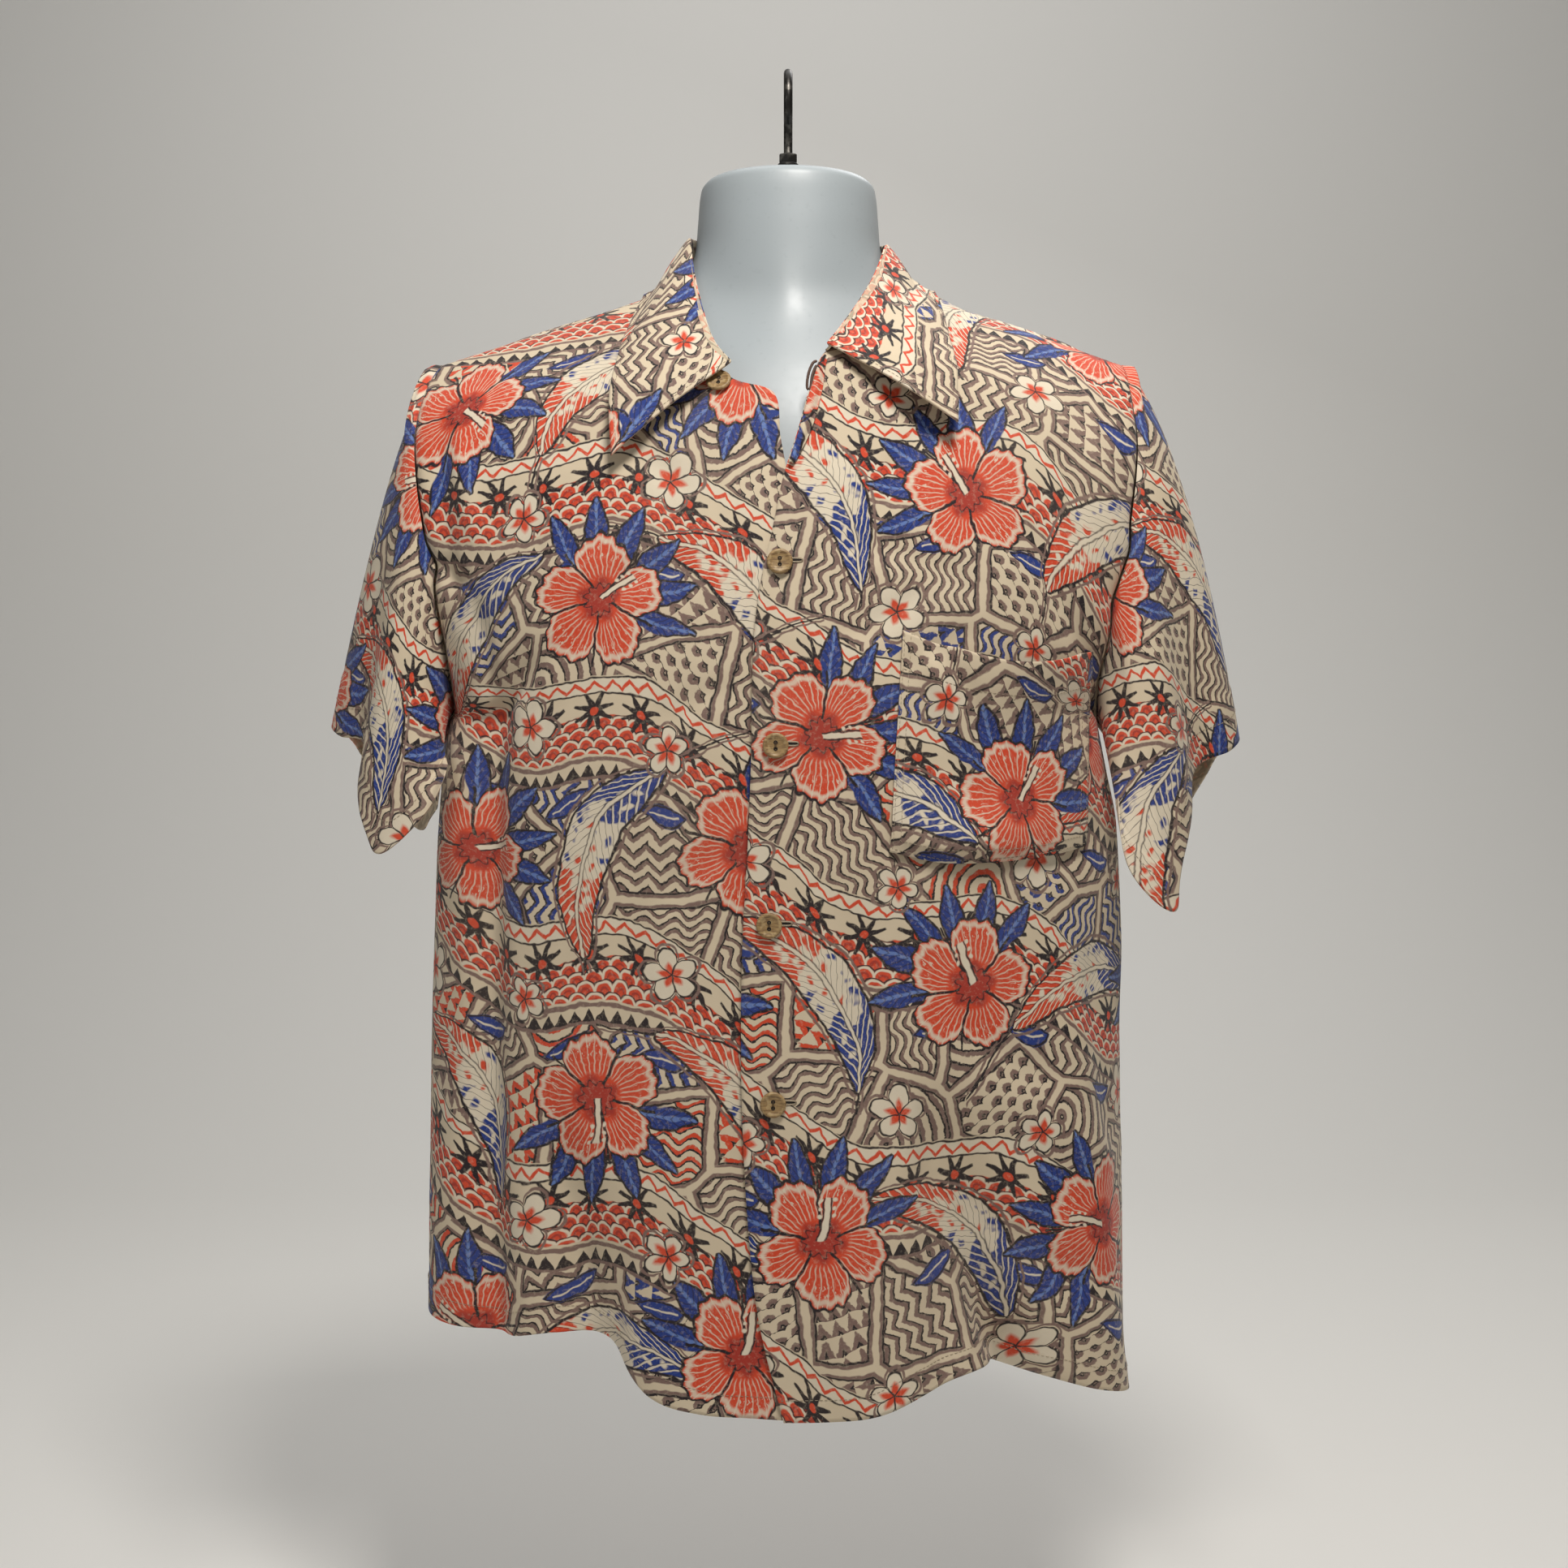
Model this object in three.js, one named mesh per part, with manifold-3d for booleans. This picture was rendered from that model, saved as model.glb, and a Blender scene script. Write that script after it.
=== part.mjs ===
import * as THREE from 'three';
import * as BufferGeometryUtils from 'three/addons/utils/BufferGeometryUtils.js';
import Module from 'manifold-3d';

// A short-sleeved printed shirt on a smooth hanging torso form, in millimetres.
// +Z is up, the front faces -Y and +X is the wearer's left. Heights in the tables
// count from the chest line, and the whole figure is lowered so that the point
// where the hook bears on its rail is the origin.

// Driving dimensions
const HOOK_HEIGHT = 481; // bearing point of the hook above the chest line
const CLOTH = 1.4; // wall of one layer of cloth
const COLLAR_CLOTH = 1.7; // wall of the two-layer collar
const SEAM_GAP = 0.4; // gap between pieces that are sewn together
const LAYER_GAP = 0.5; // gap under a layer that lies on another
const FORM_GAP = 1.5; // least gap between the cloth and the form
const HEM_LEVEL = -392; // hem at the front edge
const LEAN = -8; // the body of the shirt hangs this far to its right
const LEAN_FROM = 330; // height where the lean starts
const LEAN_FULL = 240; // height where the lean is complete
const BUTTON_RADIUS = 8;
const BUTTON_THICKNESS = 2.8;

// Buttons from the neck down: the first one sits on the right front, under the collar
const BUTTONS = [
  { name: 'button_1', x: -44, z: 255 },
  { name: 'button_2', x: -5.5, z: 137 },
  { name: 'button_3', x: -8, z: 23.5 },
  { name: 'button_4', x: -12, z: -87 },
  { name: 'button_5', x: -9.5, z: -197 },
];

// Edges of the panels. Each table runs from the hem up to the neck point of the
// shoulder seam, with x counted from the shirt's own centre.
const LEFT_FRONT_EDGE = [
  { x: 5, y: -132, z: HEM_LEVEL },
  { x: -12, y: -131, z: -320 },
  { x: -20, y: -130, z: -220 },
  { x: -21, y: -130, z: -120 },
  { x: -17, y: -131, z: -35 },
  { x: -15, y: -131, z: 18 },
  { x: -14.5, y: -131, z: 58 },
  { x: -13, y: -130, z: 95 },
  { x: -8.5, y: -127, z: 128 },
  { x: -1.5, y: -123, z: 160 },
  { x: 4.5, y: -118, z: 190 },
  { x: 13, y: -111, z: 218 },
  { x: 20.5, y: -104, z: 246 },
  { x: 28.5, y: -95, z: 272 },
  { x: 56, y: -66, z: 299 },
  { x: 70, y: -38, z: 322 },
  { x: 74, y: -12, z: 337 },
];
const RIGHT_FRONT_EDGE = [
  { x: -18, y: -132, z: HEM_LEVEL },
  { x: -18, y: -131, z: -320 },
  { x: -18, y: -130, z: -220 },
  { x: -18, y: -130, z: -120 },
  { x: -18, y: -131, z: -35 },
  { x: -18, y: -131, z: 18 },
  { x: -18, y: -131, z: 58 },
  { x: -18, y: -130, z: 95 },
  { x: -17, y: -127, z: 128 },
  { x: -13, y: -122, z: 160 },
  { x: -8, y: -116, z: 190 },
  { x: -3, y: -109, z: 218 },
  { x: 1.5, y: -101, z: 247 },
  { x: 30, y: -92, z: 259 },
  { x: 56, y: -66, z: 290 },
  { x: 70, y: -38, z: 319 },
  { x: 74, y: -12, z: 337 },
];
const BACK_EDGE = [
  { x: 0, y: 118, z: HEM_LEVEL },
  { x: 0, y: 117, z: -320 },
  { x: 0, y: 116, z: -220 },
  { x: 0, y: 115, z: -120 },
  { x: 0, y: 114, z: -35 },
  { x: 0, y: 113, z: 18 },
  { x: 0, y: 112, z: 58 },
  { x: 0, y: 111, z: 97 },
  { x: 0, y: 110, z: 136 },
  { x: 0, y: 108, z: 176 },
  { x: 0, y: 104, z: 216 },
  { x: 0, y: 96, z: 256 },
  { x: 0, y: 83, z: 296 },
  { x: 0, y: 67, z: 331 },
  { x: 44, y: 54, z: 334 },
  { x: 69, y: 25, z: 338 },
  { x: 74, y: -12, z: 337 },
];
// The outer edge is the side seam up to the armpit and the armhole above it.
// square is the exponent of the row's curve: 2 is an ellipse and 1 a straight line.
const FRONT_SIDE = [
  { x: 235, y: 8, z: HEM_LEVEL, square: 2.35 },
  { x: 235, y: 8, z: -320, square: 2.35 },
  { x: 234.5, y: 9, z: -220, square: 2.35 },
  { x: 232.5, y: 10, z: -120, square: 2.35 },
  { x: 229, y: 10, z: -38, square: 2.35 },
  { x: 225, y: 10, z: 10, square: 2.35 },
  { x: 221, y: 10, z: 42, square: 2.3 },
  { x: 215, y: -24, z: 53, square: 2.1 },
  { x: 216, y: -48, z: 82, square: 1.9 },
  { x: 222, y: -61, z: 120, square: 1.7 },
  { x: 228, y: -65, z: 158, square: 1.5 },
  { x: 234, y: -62, z: 196, square: 1.4 },
  { x: 237, y: -54, z: 226, square: 1.3 },
  { x: 236, y: -42, z: 250, square: 1.2 },
  { x: 234, y: -30, z: 267, square: 1.1 },
  { x: 232, y: -20, z: 278, square: 1.05 },
  { x: 230, y: -12, z: 284, square: 1 },
];
const BACK_SIDE = [
  { x: 235, y: 8, z: HEM_LEVEL, square: 2.35 },
  { x: 235, y: 8, z: -320, square: 2.35 },
  { x: 234.5, y: 9, z: -220, square: 2.35 },
  { x: 232.5, y: 10, z: -120, square: 2.35 },
  { x: 229, y: 10, z: -38, square: 2.35 },
  { x: 225, y: 10, z: 10, square: 2.35 },
  { x: 221, y: 10, z: 42, square: 2.3 },
  { x: 218, y: 42, z: 52, square: 2.2 },
  { x: 218, y: 62, z: 80, square: 2 },
  { x: 223, y: 74, z: 118, square: 1.85 },
  { x: 229, y: 78, z: 158, square: 1.7 },
  { x: 234, y: 76, z: 198, square: 1.5 },
  { x: 238, y: 66, z: 232, square: 1.35 },
  { x: 238, y: 50, z: 258, square: 1.2 },
  { x: 236, y: 32, z: 274, square: 1.1 },
  { x: 233, y: 10, z: 284, square: 1.05 },
  { x: 230, y: -12, z: 284, square: 1 },
];
const ARMPIT_ROW = 6;
const NECK_POINT_ROW = 13; // back neck point in BACK_EDGE, collar end in LEFT_FRONT_EDGE
const LAST_ROW = FRONT_SIDE.length - 1;

// Hem height at equal steps across each panel, from the front edge or the centre back
const HEM = {
  leftFront: [-392, -391, -387, -376, -366, -368, -378, -389, -395, -394, -389],
  rightFront: [-392, -390, -387, -378, -349, -345, -350, -350, -348, -346, -343],
  leftBack: [-398, -398, -398, -399, -400, -401, -400, -398, -396, -393, -389],
  rightBack: [-398, -398, -397, -396, -394, -391, -386, -379, -370, -358, -343],
};
const HEM_REACH = 0.22; // how far up the panel the hem's unevenness reaches

// The largest folds, by panel: across is the place from the front edge or centre
// back (0) to the side (1), at the fold's low and high ends; low and high are the
// heights as shares of the panel; depth is positive for a ridge.
const FOLDS = {
  leftFront: [
    { low: 0, high: 0.16, acrossLow: 0.52, acrossHigh: 0.38, depthLow: -40, depthHigh: -3, width: 0.075 },
    { low: 0, high: 0.2, acrossLow: 0.76, acrossHigh: 0.68, depthLow: 12, depthHigh: 4, width: 0.09 },
    { low: 0, high: 0.17, acrossLow: 0.2, acrossHigh: 0.22, depthLow: 5, depthHigh: 1, width: 0.1 },
    { low: 0.26, high: 0.5, acrossLow: 0.95, acrossHigh: 0.92, depthLow: -3, depthHigh: -6, width: 0.06 },
  ],
  rightFront: [
    { low: 0, high: 0.52, acrossLow: 0.65, acrossHigh: 0.7, depthLow: -13, depthHigh: -11, width: 0.05 },
    { low: 0, high: 0.46, acrossLow: 0.79, acrossHigh: 0.82, depthLow: 6, depthHigh: 4, width: 0.08 },
    { low: 0, high: 0.13, acrossLow: 0.42, acrossHigh: 0.46, depthLow: -22, depthHigh: -3, width: 0.07 },
    { low: 0, high: 0.16, acrossLow: 0.22, acrossHigh: 0.26, depthLow: 5, depthHigh: 1, width: 0.09 },
  ],
  leftBack: [
    { low: 0, high: 0.22, acrossLow: 0.2, acrossHigh: 0.16, depthLow: -18, depthHigh: -3, width: 0.08 },
    { low: 0, high: 0.3, acrossLow: 0.4, acrossHigh: 0.36, depthLow: 9, depthHigh: 2, width: 0.08 },
    { low: 0, high: 0.46, acrossLow: 0.6, acrossHigh: 0.68, depthLow: -20, depthHigh: -7, width: 0.07 },
  ],
  rightBack: [
    { low: 0, high: 0.2, acrossLow: 0.3, acrossHigh: 0.24, depthLow: -22, depthHigh: -4, width: 0.08 },
    { low: 0, high: 0.3, acrossLow: 0.5, acrossHigh: 0.47, depthLow: 8, depthHigh: 3, width: 0.08 },
    { low: 0, high: 0.46, acrossLow: 0.7, acrossHigh: 0.74, depthLow: -15, depthHigh: -8, width: 0.06 },
  ],
};

// Horizontal sections of the form
const FORM_SECTIONS = [
  { z: -300, half: 166, front: 92, back: 92, square: 2.3 },
  { z: -297, half: 173, front: 99, back: 98, square: 2.3 },
  { z: -286, half: 176, front: 102, back: 101, square: 2.3 },
  { z: -220, half: 172, front: 103, back: 100, square: 2.3 },
  { z: -140, half: 163, front: 104, back: 95, square: 2.25 },
  { z: -60, half: 166, front: 109, back: 94, square: 2.25 },
  { z: 10, half: 176, front: 115, back: 97, square: 2.3 },
  { z: 70, half: 184, front: 119, back: 100, square: 2.3 },
  { z: 120, half: 192, front: 118, back: 101, square: 2.3 },
  { z: 165, half: 203, front: 113, back: 100, square: 2.2 },
  { z: 205, half: 212, front: 105, back: 97, square: 2.1 },
  { z: 238, half: 218, front: 96, back: 90, square: 1.95 },
  { z: 262, half: 218, front: 87, back: 82, square: 1.75 },
  { z: 281, half: 211, front: 78, back: 75, square: 1.5 },
  { z: 295, half: 195, front: 71, back: 69, square: 1.35 },
  { z: 307, half: 163, front: 66, back: 65, square: 1.28 },
  { z: 318, half: 126, front: 62, back: 62, square: 1.3 },
  { z: 328, half: 92, front: 59.5, back: 60.5, square: 1.5 },
  { z: 340, half: 69, front: 57.5, back: 59, square: 1.95 },
  { z: 358, half: 63.5, front: 56, back: 57.5, square: 2.05 },
  { z: 380, half: 61.5, front: 54.5, back: 56, square: 2.1 },
  { z: 398, half: 60, front: 53, back: 54.5, square: 2.1 },
  { z: 405.5, half: 57.5, front: 50.5, back: 52, square: 2.1 },
  { z: 409, half: 50, front: 43, back: 44.5, square: 2.1 },
  { z: 411.5, half: 26, front: 22, back: 23, square: 2 },
];
const FORM_CROWN = 412;
const FORM_BOTTOM = -300;

// Cuff of each sleeve: around is the place on the armhole, 0 at the shoulder, 0.5
// at the armpit and 1 back at the shoulder by way of the back; x, y, z is the edge
// of the cuff; out, fwd, up say how the cloth leaves the armhole there.
const LEFT_CUFF = [
  { around: 0, x: 305, y: 6, z: 32, out: 37, fwd: 0, up: -32 },
  { around: 0.09, x: 295, y: -27, z: 22, out: 33, fwd: -6, up: -34 },
  { around: 0.17, x: 268, y: -40, z: 6, out: 17, fwd: -10, up: -40 },
  { around: 0.25, x: 257, y: -66, z: -45, out: 14, fwd: -14, up: -50 },
  { around: 0.33, x: 248, y: -80, z: -82, out: 9, fwd: -22, up: -50 },
  { around: 0.4, x: 222, y: -84, z: -46, out: 2, fwd: -30, up: -30 },
  { around: 0.46, x: 215, y: -66, z: -4, out: 6, fwd: -26, up: -14 },
  { around: 0.53, x: 240, y: 2, z: -2, out: 10, fwd: 0, up: -14 },
  { around: 0.62, x: 242, y: 52, z: -34, out: 12, fwd: 8, up: -22 },
  { around: 0.72, x: 256, y: 68, z: -62, out: 14, fwd: 10, up: -40 },
  { around: 0.86, x: 292, y: 48, z: 0, out: 30, fwd: 8, up: -36 },
];
const RIGHT_CUFF = [
  { around: 0, x: 309, y: 6, z: 40, out: 20, fwd: 0, up: -26 },
  { around: 0.09, x: 300, y: -24, z: 32, out: 20, fwd: -6, up: -30 },
  { around: 0.17, x: 281, y: -38, z: 24, out: 17, fwd: -10, up: -40 },
  { around: 0.25, x: 275, y: -66, z: -16, out: 15, fwd: -14, up: -50 },
  { around: 0.33, x: 263, y: -78, z: -45, out: 10, fwd: -22, up: -50 },
  { around: 0.4, x: 236, y: -82, z: -6, out: 3, fwd: -30, up: -26 },
  { around: 0.46, x: 221, y: -68, z: 12, out: 6, fwd: -26, up: -12 },
  { around: 0.53, x: 246, y: 2, z: 4, out: 10, fwd: 0, up: -12 },
  { around: 0.62, x: 248, y: 50, z: -18, out: 12, fwd: 8, up: -20 },
  { around: 0.72, x: 266, y: 66, z: -32, out: 14, fwd: 10, up: -40 },
  { around: 0.86, x: 297, y: 46, z: 14, out: 20, fwd: 8, up: -34 },
];

// Collar, from its end on the right front round the back to its end on the left
// front: roll is the fold at the top of the stand, edge the outer edge of the fall.
const COLLAR_STATIONS = [
  { rollX: -38, rollY: -96, rollZ: 267, edgeX: -109, edgeY: -103, edgeZ: 203 },
  { rollX: -50, rollY: -76, rollZ: 287, edgeX: -112, edgeY: -88, edgeZ: 243 },
  { rollX: -61, rollY: -42, rollZ: 330, edgeX: -106, edgeY: -56, edgeZ: 293 },
  { rollX: -66, rollY: -12, rollZ: 366, edgeX: -96, edgeY: -14, edgeZ: 324 },
  { rollX: -65, rollY: 16, rollZ: 376, edgeX: -90, edgeY: 30, edgeZ: 328 },
  { rollX: -41, rollY: 56, rollZ: 377, edgeX: -62, edgeY: 82, edgeZ: 320 },
  { rollX: 0, rollY: 69, rollZ: 377, edgeX: 0, edgeY: 101, edgeZ: 313 },
  { rollX: 41, rollY: 56, rollZ: 375, edgeX: 62, edgeY: 82, edgeZ: 319 },
  { rollX: 66, rollY: 16, rollZ: 372, edgeX: 90, edgeY: 30, edgeZ: 326 },
  { rollX: 65, rollY: -14, rollZ: 362, edgeX: 95, edgeY: -14, edgeZ: 322 },
  { rollX: 56, rollY: -44, rollZ: 334, edgeX: 102, edgeY: -54, edgeZ: 294 },
  { rollX: 42, rollY: -76, rollZ: 304, edgeX: 105, edgeY: -84, edgeZ: 254 },
  { rollX: 27, rollY: -103, rollZ: 277, edgeX: 103, edgeY: -104, edgeZ: 223 },
];
const RIGHT_COLLAR_ROW = 13.25; // row of RIGHT_FRONT_EDGE where the collar ends

// Pocket on the left front, from its inner to its outer edge: the mouth sags in the middle
const POCKET = [
  { topX: 70.5, topZ: 95, bottomX: 62, bottomZ: -42 },
  { topX: 98, topZ: 84.5, bottomX: 95, bottomZ: -49 },
  { topX: 131, topZ: 77.5, bottomX: 127, bottomZ: -49 },
  { topX: 164, topZ: 79, bottomX: 159, bottomZ: -46 },
  { topX: 196, topZ: 86.5, bottomX: 191, bottomZ: -40 },
];
const POCKET_GAPE = 7; // how far the pocket's mouth stands off

// Colours
const PRINT = { color: 0xb9a893, roughness: 0.78, metalness: 0 };
const PLASTIC = { color: 0xc3ccd4, roughness: 0.3, metalness: 0 };
const HORN = { color: 0x7a5f3b, roughness: 0.4, metalness: 0 };
const STEEL = { color: 0x2d2a2c, roughness: 0.35, metalness: 0.9 };

const { lerp, clamp, smoothstep } = THREE.MathUtils;
const point = (x, y, z) => new THREE.Vector3(x, y, z);
const column = (table, name) => table.map((row) => row[name]);

/** Catmull-Rom curve through equally spaced values, at t from 0 to 1. */
function spline(values, t) {
  const last = values.length - 1;
  const place = clamp(t, 0, 1) * last;
  const i = Math.min(Math.floor(place), last - 1);
  const f = place - i;
  const at = (k) => values[clamp(k, 0, last)];
  const [a, b, c, d] = [at(i - 1), at(i), at(i + 1), at(i + 2)];
  return b + 0.5 * f * (c - a + f * (2 * a - 5 * b + 4 * c - d + f * (3 * (b - c) + d - a)));
}

/** Value of a column of a table with one row a height, with a sharp turn at the armpit. */
function atRow(table, name, t) {
  const values = column(table, name);
  const place = t * LAST_ROW;
  if (place <= ARMPIT_ROW) {
    return spline(values.slice(0, ARMPIT_ROW + 1), place / ARMPIT_ROW);
  }
  return spline(values.slice(ARMPIT_ROW), (place - ARMPIT_ROW) / (LAST_ROW - ARMPIT_ROW));
}

/** Point of a table with x, y and z columns, at t from 0 to 1. */
function along(table, t, value = (rows, name) => spline(column(rows, name), t)) {
  return point(...['x', 'y', 'z'].map((axis) => value(table, axis, t)));
}

/** Resamples a polyline to a number of equal steps. */
function evenly(line, steps) {
  const reached = [0];
  for (let i = 1; i < line.length; i += 1) {
    reached.push(reached[i - 1] + line[i].distanceTo(line[i - 1]));
  }
  const total = reached[reached.length - 1];
  const out = [];
  let k = 1;
  for (let i = 0; i <= steps; i += 1) {
    const want = (total * i) / steps;
    while (k < line.length - 1 && reached[k] < want) {
      k += 1;
    }
    const span = Math.max(reached[k] - reached[k - 1], 1e-9);
    out.push(line[k - 1].clone().lerp(line[k], clamp((want - reached[k - 1]) / span, 0, 1)));
  }
  return out;
}

/** Outward normals of a grid of points, from the cross product of its two directions. */
function gridNormals(grid, sign, closed = false) {
  const rows = grid.length - 1;
  const columns = grid[0].length - 1;
  const wrap = (i) => (closed ? (i + columns) % columns : clamp(i, 0, columns));
  return grid.map((row, j) =>
    row.map((_, i) => {
      const across = grid[j][wrap(i + 1)].clone().sub(grid[j][wrap(i - 1)]);
      const up = grid[Math.min(j + 1, rows)][i].clone().sub(grid[Math.max(j - 1, 0)][i]);
      return across.cross(up).multiplyScalar(sign).normalize();
    }),
  );
}

/** Bilinear point of a grid at shares u across and t up. */
function sample(grid, u, t) {
  const rows = grid.length - 1;
  const columns = grid[0].length - 1;
  const j = Math.min(Math.floor(clamp(t, 0, 1) * rows), rows - 1);
  const i = Math.min(Math.floor(clamp(u, 0, 1) * columns), columns - 1);
  const fj = clamp(t, 0, 1) * rows - j;
  const fi = clamp(u, 0, 1) * columns - i;
  const low = grid[j][i].clone().lerp(grid[j][i + 1], fi);
  const high = grid[j + 1][i].clone().lerp(grid[j + 1][i + 1], fi);
  return low.lerp(high, fj);
}

const REACH_BESIDE = 8;

/** Moves a point out along the nearest surface normal until it is clear of the surface by gap. */
function keepClear(p, surface, gap) {
  let best = Infinity;
  let nearest = 0;
  for (let k = 0; k < surface.points.length; k += 1) {
    const d = p.distanceToSquared(surface.points[k]);
    if (d < best) {
      best = d;
      nearest = k;
    }
  }
  const normal = surface.normals[nearest];
  const height = p.clone().sub(surface.points[nearest]).dot(normal);
  const beside = best - height ** 2 > REACH_BESIDE ** 2; // beyond the surface's own edge
  if (height < gap && !beside) {
    p.addScaledVector(normal, gap - height);
  }
  return p;
}

/** The points and normals of grids, flattened for keepClear. */
function surfaceOf(...sheets) {
  return {
    points: sheets.flatMap((sheet) => sheet.grid.flat()),
    normals: sheets.flatMap((sheet) => sheet.normals.flat()),
  };
}

/** Horizontal section of the form: a superellipse with its own depth in front and behind. */
function formPoint(around, t) {
  const [z, half, front, back, square] = ['z', 'half', 'front', 'back', 'square'].map((name) =>
    spline(column(FORM_SECTIONS, name), t),
  );
  const angle = around * 2 * Math.PI;
  const power = 2 / square;
  const s = Math.sign(Math.sin(angle)) * Math.abs(Math.sin(angle)) ** power;
  const c = Math.sign(Math.cos(angle)) * Math.abs(Math.cos(angle)) ** power;
  return point(half * s, c > 0 ? -front * c : -back * c, z);
}

/** A ring of the form, in equal steps of its outline, from the front round the wearer's left. */
function formRing(t, steps) {
  const line = [];
  const fine = 240;
  for (let i = 0; i <= fine; i += 1) {
    line.push(formPoint(i / fine, t));
  }
  return evenly(line, steps);
}

function formGrid(rows, steps) {
  const grid = [];
  for (let j = 0; j <= rows; j += 1) {
    grid.push(formRing(j / rows, steps));
  }
  return { grid, normals: gridNormals(grid, 1, true) };
}

/** Height of the folds of one panel above its plain surface, at shares across and up. */
function foldHeight(folds, u, t) {
  let height = 0;
  for (const fold of folds) {
    const k = (t - fold.low) / (fold.high - fold.low);
    if (k < 0 || k > 1) {
      continue;
    }
    const fadeIn = fold.low > 0 ? smoothstep(k, 0, 0.25) : 1;
    const fadeOut = 1 - smoothstep(k, 0.7, 1);
    const centre = lerp(fold.acrossLow, fold.acrossHigh, k);
    const depth = lerp(fold.depthLow, fold.depthHigh, k) * fadeIn * fadeOut;
    height += depth * Math.exp(-(((u - centre) / fold.width) ** 2));
  }
  return height;
}

/**
 * A panel of the body as a grid of points: rows run from the inner edge to the side
 * along superellipse curves, side is 1 for the wearer's left and -1 for the right,
 * lift raises the panel where it lies over the other front.
 */
function panel(inner, outer, side, hem, folds, lift, rows, columns) {
  const fine = 80;
  const grid = [];
  for (let j = 0; j <= rows; j += 1) {
    const t = j / rows;
    const a = along(inner, t);
    if (!isFront(inner)) {
      a.x = Math.max(a.x, 0);
    }
    const b = along(outer, t, atRow);
    const power = 2 / atRow(outer, 'square', t);
    const line = [];
    for (let i = 0; i <= fine; i += 1) {
      const angle = (i / fine) * (Math.PI / 2);
      const s = Math.sin(angle) ** power;
      const c = Math.max(Math.cos(angle), 0) ** power;
      line.push(point(lerp(a.x, b.x, s), lerp(b.y, a.y, c), lerp(a.z, b.z, s)));
    }
    const hemShare = Math.max(1 - t / HEM_REACH, 0) ** 2;
    grid.push(
      evenly(line, columns).map((p, i) => {
        p.z += (spline(hem, i / columns) - HEM_LEVEL) * hemShare;
        p.x = p.x * side + LEAN * (1 - smoothstep(p.z, LEAN_FULL, LEAN_FROM));
        return p;
      }),
    );
  }
  const sign = side * (isFront(inner) ? 1 : -1);
  const normals = gridNormals(grid, sign);
  grid.forEach((row, j) =>
    row.forEach((p, i) => {
      const u = i / columns;
      const raised = foldHeight(folds, u, j / rows) + lift * (1 - smoothstep(u, 0.14, 0.3));
      p.addScaledVector(normals[j][i], raised);
      keepClear(p, FORM_SURFACE, CLOTH + FORM_GAP);
    }),
  );
  return { grid, normals: gridNormals(grid, sign), sign };
}

/** Depth of a table's first point, which tells a front panel from a back one. */
const isFront = (edge) => edge[0].y < 0;

/** Triangles of a grid of points, with the outside on the side of its normals. */
function gridSurface(grid, sign) {
  const positions = grid.flat();
  const width = grid[0].length;
  const triangles = [];
  for (let j = 0; j < grid.length - 1; j += 1) {
    for (let i = 0; i < width - 1; i += 1) {
      const a = j * width + i;
      const [b, c, d] = [a + 1, a + width, a + width + 1];
      const quad = sign > 0 ? [a, b, d, a, d, c] : [a, d, b, a, c, d];
      triangles.push(...quad);
    }
  }
  return { positions, triangles };
}

/** Joins surfaces into one, merging points that coincide and dropping empty triangles. */
function weld(...surfaces) {
  const known = new Map();
  const positions = [];
  const triangles = [];
  for (const surface of surfaces) {
    const index = surface.positions.map((p) => {
      const key = [p.x, p.y, p.z].map((v) => Math.round(v * 1000)).join();
      if (!known.has(key)) {
        known.set(key, positions.length);
        positions.push(p);
      }
      return known.get(key);
    });
    for (let k = 0; k < surface.triangles.length; k += 3) {
      const [a, b, c] = surface.triangles.slice(k, k + 3).map((v) => index[v]);
      if (a !== b && b !== c && c !== a) {
        triangles.push(a, b, c);
      }
    }
  }
  return { positions, triangles };
}

/** A geometry from a closed surface of points and triangles. */
function closedGeometry({ positions, triangles }) {
  const geometry = new THREE.BufferGeometry();
  geometry.setAttribute('position', new THREE.Float32BufferAttribute(positions.flatMap((p) => p.toArray()), 3));
  geometry.setIndex(triangles);
  return geometry;
}

/** Gives an open surface a wall: the inner side lies under the outer, and rims close the edges. */
function wall(surface, thickness) {
  const { positions, triangles } = surface;
  const normals = positions.map(() => point(0, 0, 0));
  const edges = new Map();
  for (let k = 0; k < triangles.length; k += 3) {
    const [a, b, c] = triangles.slice(k, k + 3);
    const ab = positions[b].clone().sub(positions[a]);
    const face = ab.cross(positions[c].clone().sub(positions[a]));
    for (const v of [a, b, c]) {
      normals[v].add(face);
    }
    for (const [from, to] of [[a, b], [b, c], [c, a]]) {
      edges.set(`${from},${to}`, [from, to]);
    }
  }
  const count = positions.length;
  const inner = positions.map((p, v) => p.clone().addScaledVector(normals[v].normalize(), -thickness));
  const all = [...triangles];
  for (let k = 0; k < triangles.length; k += 3) {
    const [a, b, c] = triangles.slice(k, k + 3);
    all.push(a + count, c + count, b + count);
  }
  for (const [from, to] of edges.values()) {
    if (!edges.has(`${to},${from}`)) {
      all.push(from, from + count, to + count, from, to + count, to);
    }
  }
  return closedGeometry({ positions: [...positions, ...inner], triangles: all });
}

const FORM_SURFACE = surfaceOf(formGrid(110, 110));

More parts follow.
